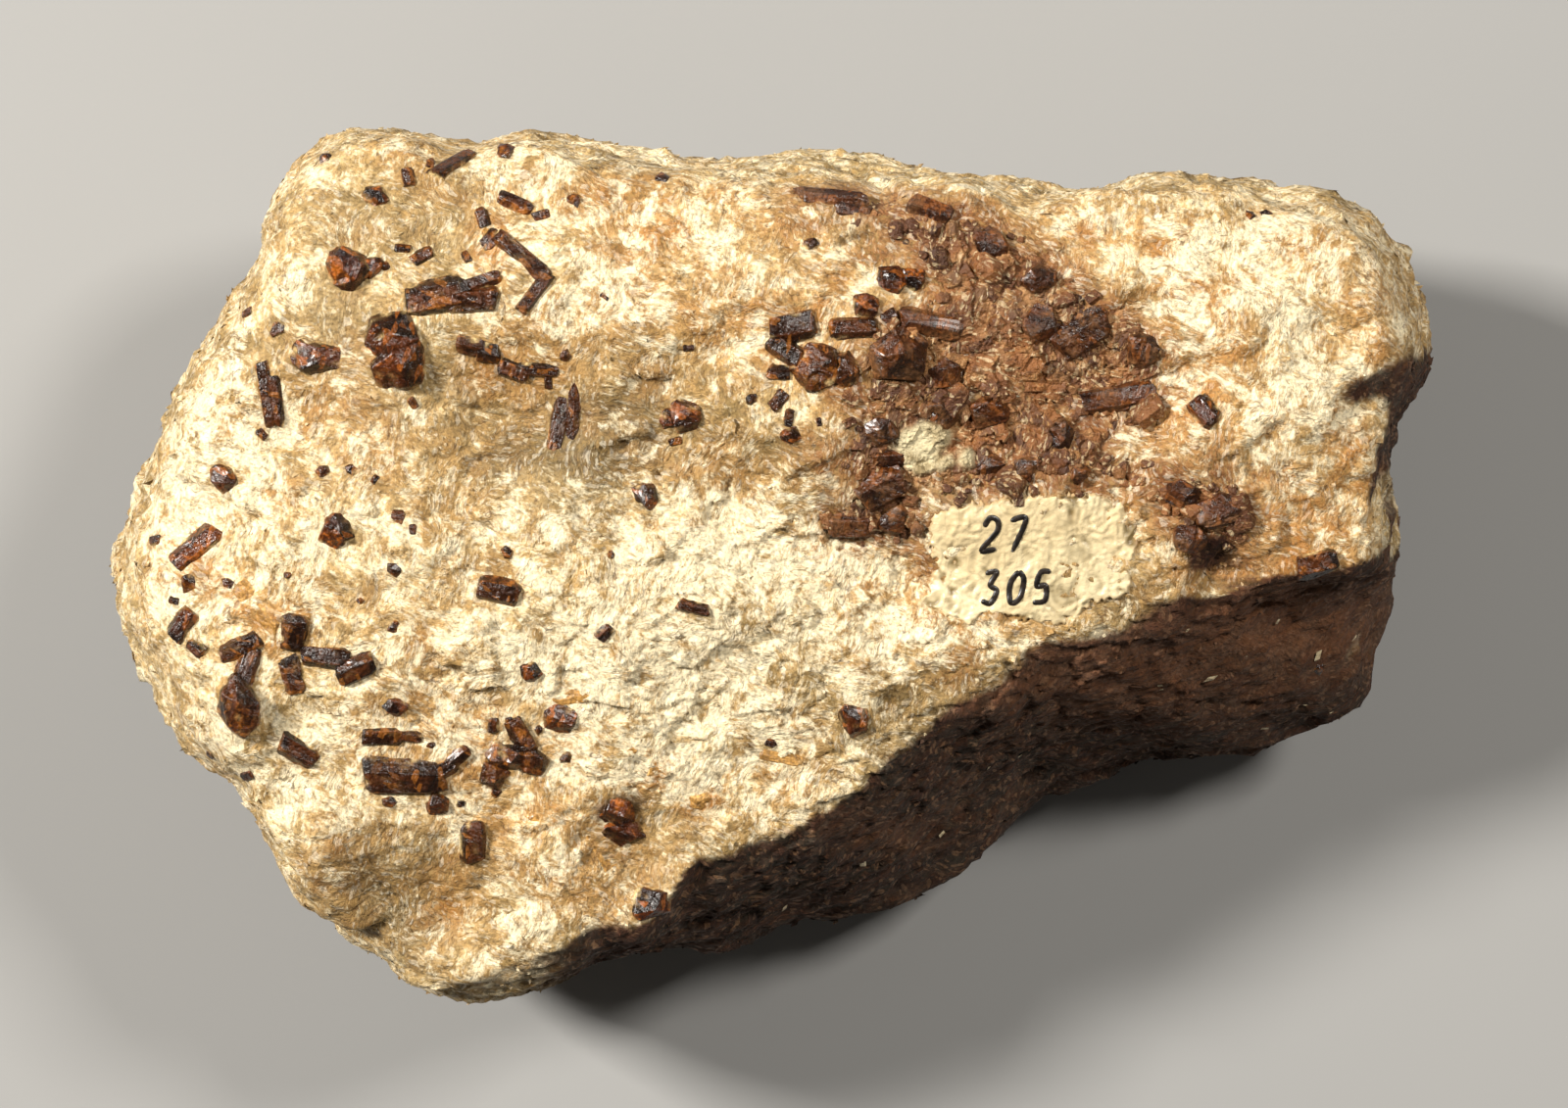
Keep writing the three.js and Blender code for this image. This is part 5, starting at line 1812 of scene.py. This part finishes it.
class SPECIMEN_OT_patch(Operator):
    """Paints the label patch and its plain hand-inked digits"""

    bl_idname = "specimen.patch"
    bl_label = "Label patch"

    def execute(self, context):
        settings = context.scene.specimen_patch
        groups = shared_groups()
        rng = np.random.default_rng(3)
        proud = settings.proud / MM
        spacing = PATCH_STEP
        points, faces, values = coat_mesh(
            PAINT_OUTLINE, spacing, 2.6, rng, lambda g, d: self.lift(g, d, proud), 0.4)
        make_piece("label_patch", points, faces, cream_lacquer(groups, settings),
                   ["painted_label"], values=values)
        points, faces = self.writing(proud)
        make_piece("inked_digits", points, faces, black_ink(groups))
        return {"FINISHED"}

    def lift(self, ground, inwards, proud):
        """Brush-like wrinkles that run down the patch with painted shade in their troughs, a thin
        chipped edge, and a browner band along the edge.
        """
        bent = ground + 0.9 * np.column_stack([noise(ground, 2.2, 50 + i) for i in range(3)])
        slant = bent * np.array([1.0, 0.42, 0.4])
        px, py = to_pixels(*ground.T)
        written = spot_strength(WRITTEN_SPOT, px, py)
        crinkled = ramp(noise(ground, 4, 58) - 0.7 * written, -0.6, 0.3)
        folds = 0.6 - 2.4 * np.abs(noise(slant, 1.7, 51) + 0.35 * noise(bent, 0.8, 55))
        ridges = folds * (0.25 + 0.9 * crinkled) + 0.4 * noise(bent, 0.55, 53)
        edge = ramp(inwards, 0, 2.4)
        chips = ramp(noise(ground, 0.9, 56) + 0.3 - 0.09 * inwards, 0.1, 0.4)
        height = edge * (0.8 * proud + 0.34 * ridges) * (1 - chips) - 0.05 - 0.3 * chips
        # Painted shade in the troughs between the folds
        wrinkle_shade = np.clip(-1.6 * ridges + 0.05 + 0.7 * noise(ground, 3, 57), 0, 1)
        # Browner towards the edge
        edge_browning = np.clip(1 - ramp(inwards, 0, 7) + 0.5 * noise(ground, 2, 59) - 0.2, 0, 1)
        return np.minimum(height, proud + 0.2), {"wrinkle_shade": wrinkle_shade, "edge_browning": edge_browning}

    def writing(self, proud):
        meshes = []
        for digits, (x0, y0) in DIGIT_ROWS:
            for number, digit in enumerate(digits):
                left = x0 + number * DIGIT_STEP
                for stroke in DIGITS[digit]:
                    places = [(left + u * DIGIT_WIDE + v * DIGIT_SLANT, y0 - v * DIGIT_TALL)
                              for u, v in stroke]
                    meshes.append((*self.stroke(np.array(places), proud), {}))
        return joined_meshes(meshes)[:2]

    def pen_line(self, places):
        """A smooth line through a stroke's places."""
        smooth = []
        for i in range(len(places) - 1):
            before, after = places[max(i - 1, 0)], places[min(i + 2, len(places) - 1)]
            a, b = places[i], places[i + 1]
            for t in np.linspace(0, 1, 9)[:-1]:
                bend = (b - before) / 2 * t * (1 - t) ** 2 - (after - a) / 2 * t * t * (1 - t)
                smooth.append(a + (b - a) * t * t * (3 - 2 * t) + bend)
        return np.array(smooth + [places[-1]])

    def stroke(self, places, proud):
        """A pen line as a low ribbon with a rounded back and narrow ends."""
        line = self.pen_line(places)
        way = np.gradient(line, axis=0)
        way /= np.maximum(np.linalg.norm(way, axis=1, keepdims=True), 1e-9)
        side = np.column_stack([-way[:, 1], way[:, 0]])
        ends = np.minimum(np.arange(len(line)), np.arange(len(line))[::-1])
        half = PEN_HALF * np.minimum(1, 0.45 + 0.3 * ends)[:, None]
        rails = []
        for off, rise in PEN_RAILS:
            ground = on_stone(line + side * half * off)
            lifted, _ = self.lift(ground, np.full(len(ground), 20.0), proud)
            rails.append(ground + outward(ground) * (lifted + rise)[:, None])
        return np.concatenate(rails), self.ribbon(len(line))

    def ribbon(self, count):
        """Faces round four rails of count points, closed at both ends."""
        faces = []
        for rail in range(4):
            for i in range(count - 1):
                a, b = rail * count + i, (rail + 1) % 4 * count + i
                faces += [(a, a + 1, b + 1), (a, b + 1, b)]
        for i in (0, count - 1):
            ring = [rail * count + i for rail in range(4)]
            faces += [(ring[0], ring[1], ring[2]), (ring[0], ring[2], ring[3])]
        return np.array(faces)


class SPECIMEN_PT_panel(Panel):
    """Lists the settings and the builders"""

    bl_label = "Sericite Specimen"
    bl_idname = "SPECIMEN_PT_panel"
    bl_space_type = "VIEW_3D"
    bl_region_type = "UI"
    bl_category = "Specimen"

    def draw(self, context):
        for group, names in PANEL_ROWS.items():
            box = self.layout.box()
            for name in names:
                box.prop(getattr(context.scene, group), name)
        for operator in OPERATORS:
            self.layout.operator(operator.bl_idname)


PANEL_ROWS = {
    "specimen_stone": ["fineness", "flakes", "cream", "white", "ochre"],
    "specimen_crystals": ["swell", "grains"],
    "specimen_patch": ["proud", "lacquer"],
    "specimen_stage": ["floor", "key_power", "second_power"],
}
GROUPS = {
    "specimen_stone": StoneSettings,
    "specimen_crystals": CrystalSettings,
    "specimen_patch": PatchSettings,
    "specimen_stage": StageSettings,
}
OPERATORS = [
    SPECIMEN_OT_stage,
    SPECIMEN_OT_stone,
    SPECIMEN_OT_rusty_mass,
    SPECIMEN_OT_crystals,
    SPECIMEN_OT_patch,
]


def register():
    for group in GROUPS.values():
        bpy.utils.register_class(group)
    for name, group in GROUPS.items():
        setattr(bpy.types.Scene, name, PointerProperty(type=group))
    for operator in OPERATORS:
        bpy.utils.register_class(operator)
    bpy.utils.register_class(SPECIMEN_PT_panel)


def unregister():
    bpy.utils.unregister_class(SPECIMEN_PT_panel)
    for operator in reversed(OPERATORS):
        bpy.utils.unregister_class(operator)
    for name in GROUPS:
        delattr(bpy.types.Scene, name)
    for group in reversed(list(GROUPS.values())):
        bpy.utils.unregister_class(group)


def main():
    register()
    bpy.ops.specimen.stage()
    bpy.ops.specimen.stone()
    bpy.ops.specimen.rusty_mass()
    bpy.ops.specimen.crystals()
    bpy.ops.specimen.patch()


if __name__ == "__main__":
    main()
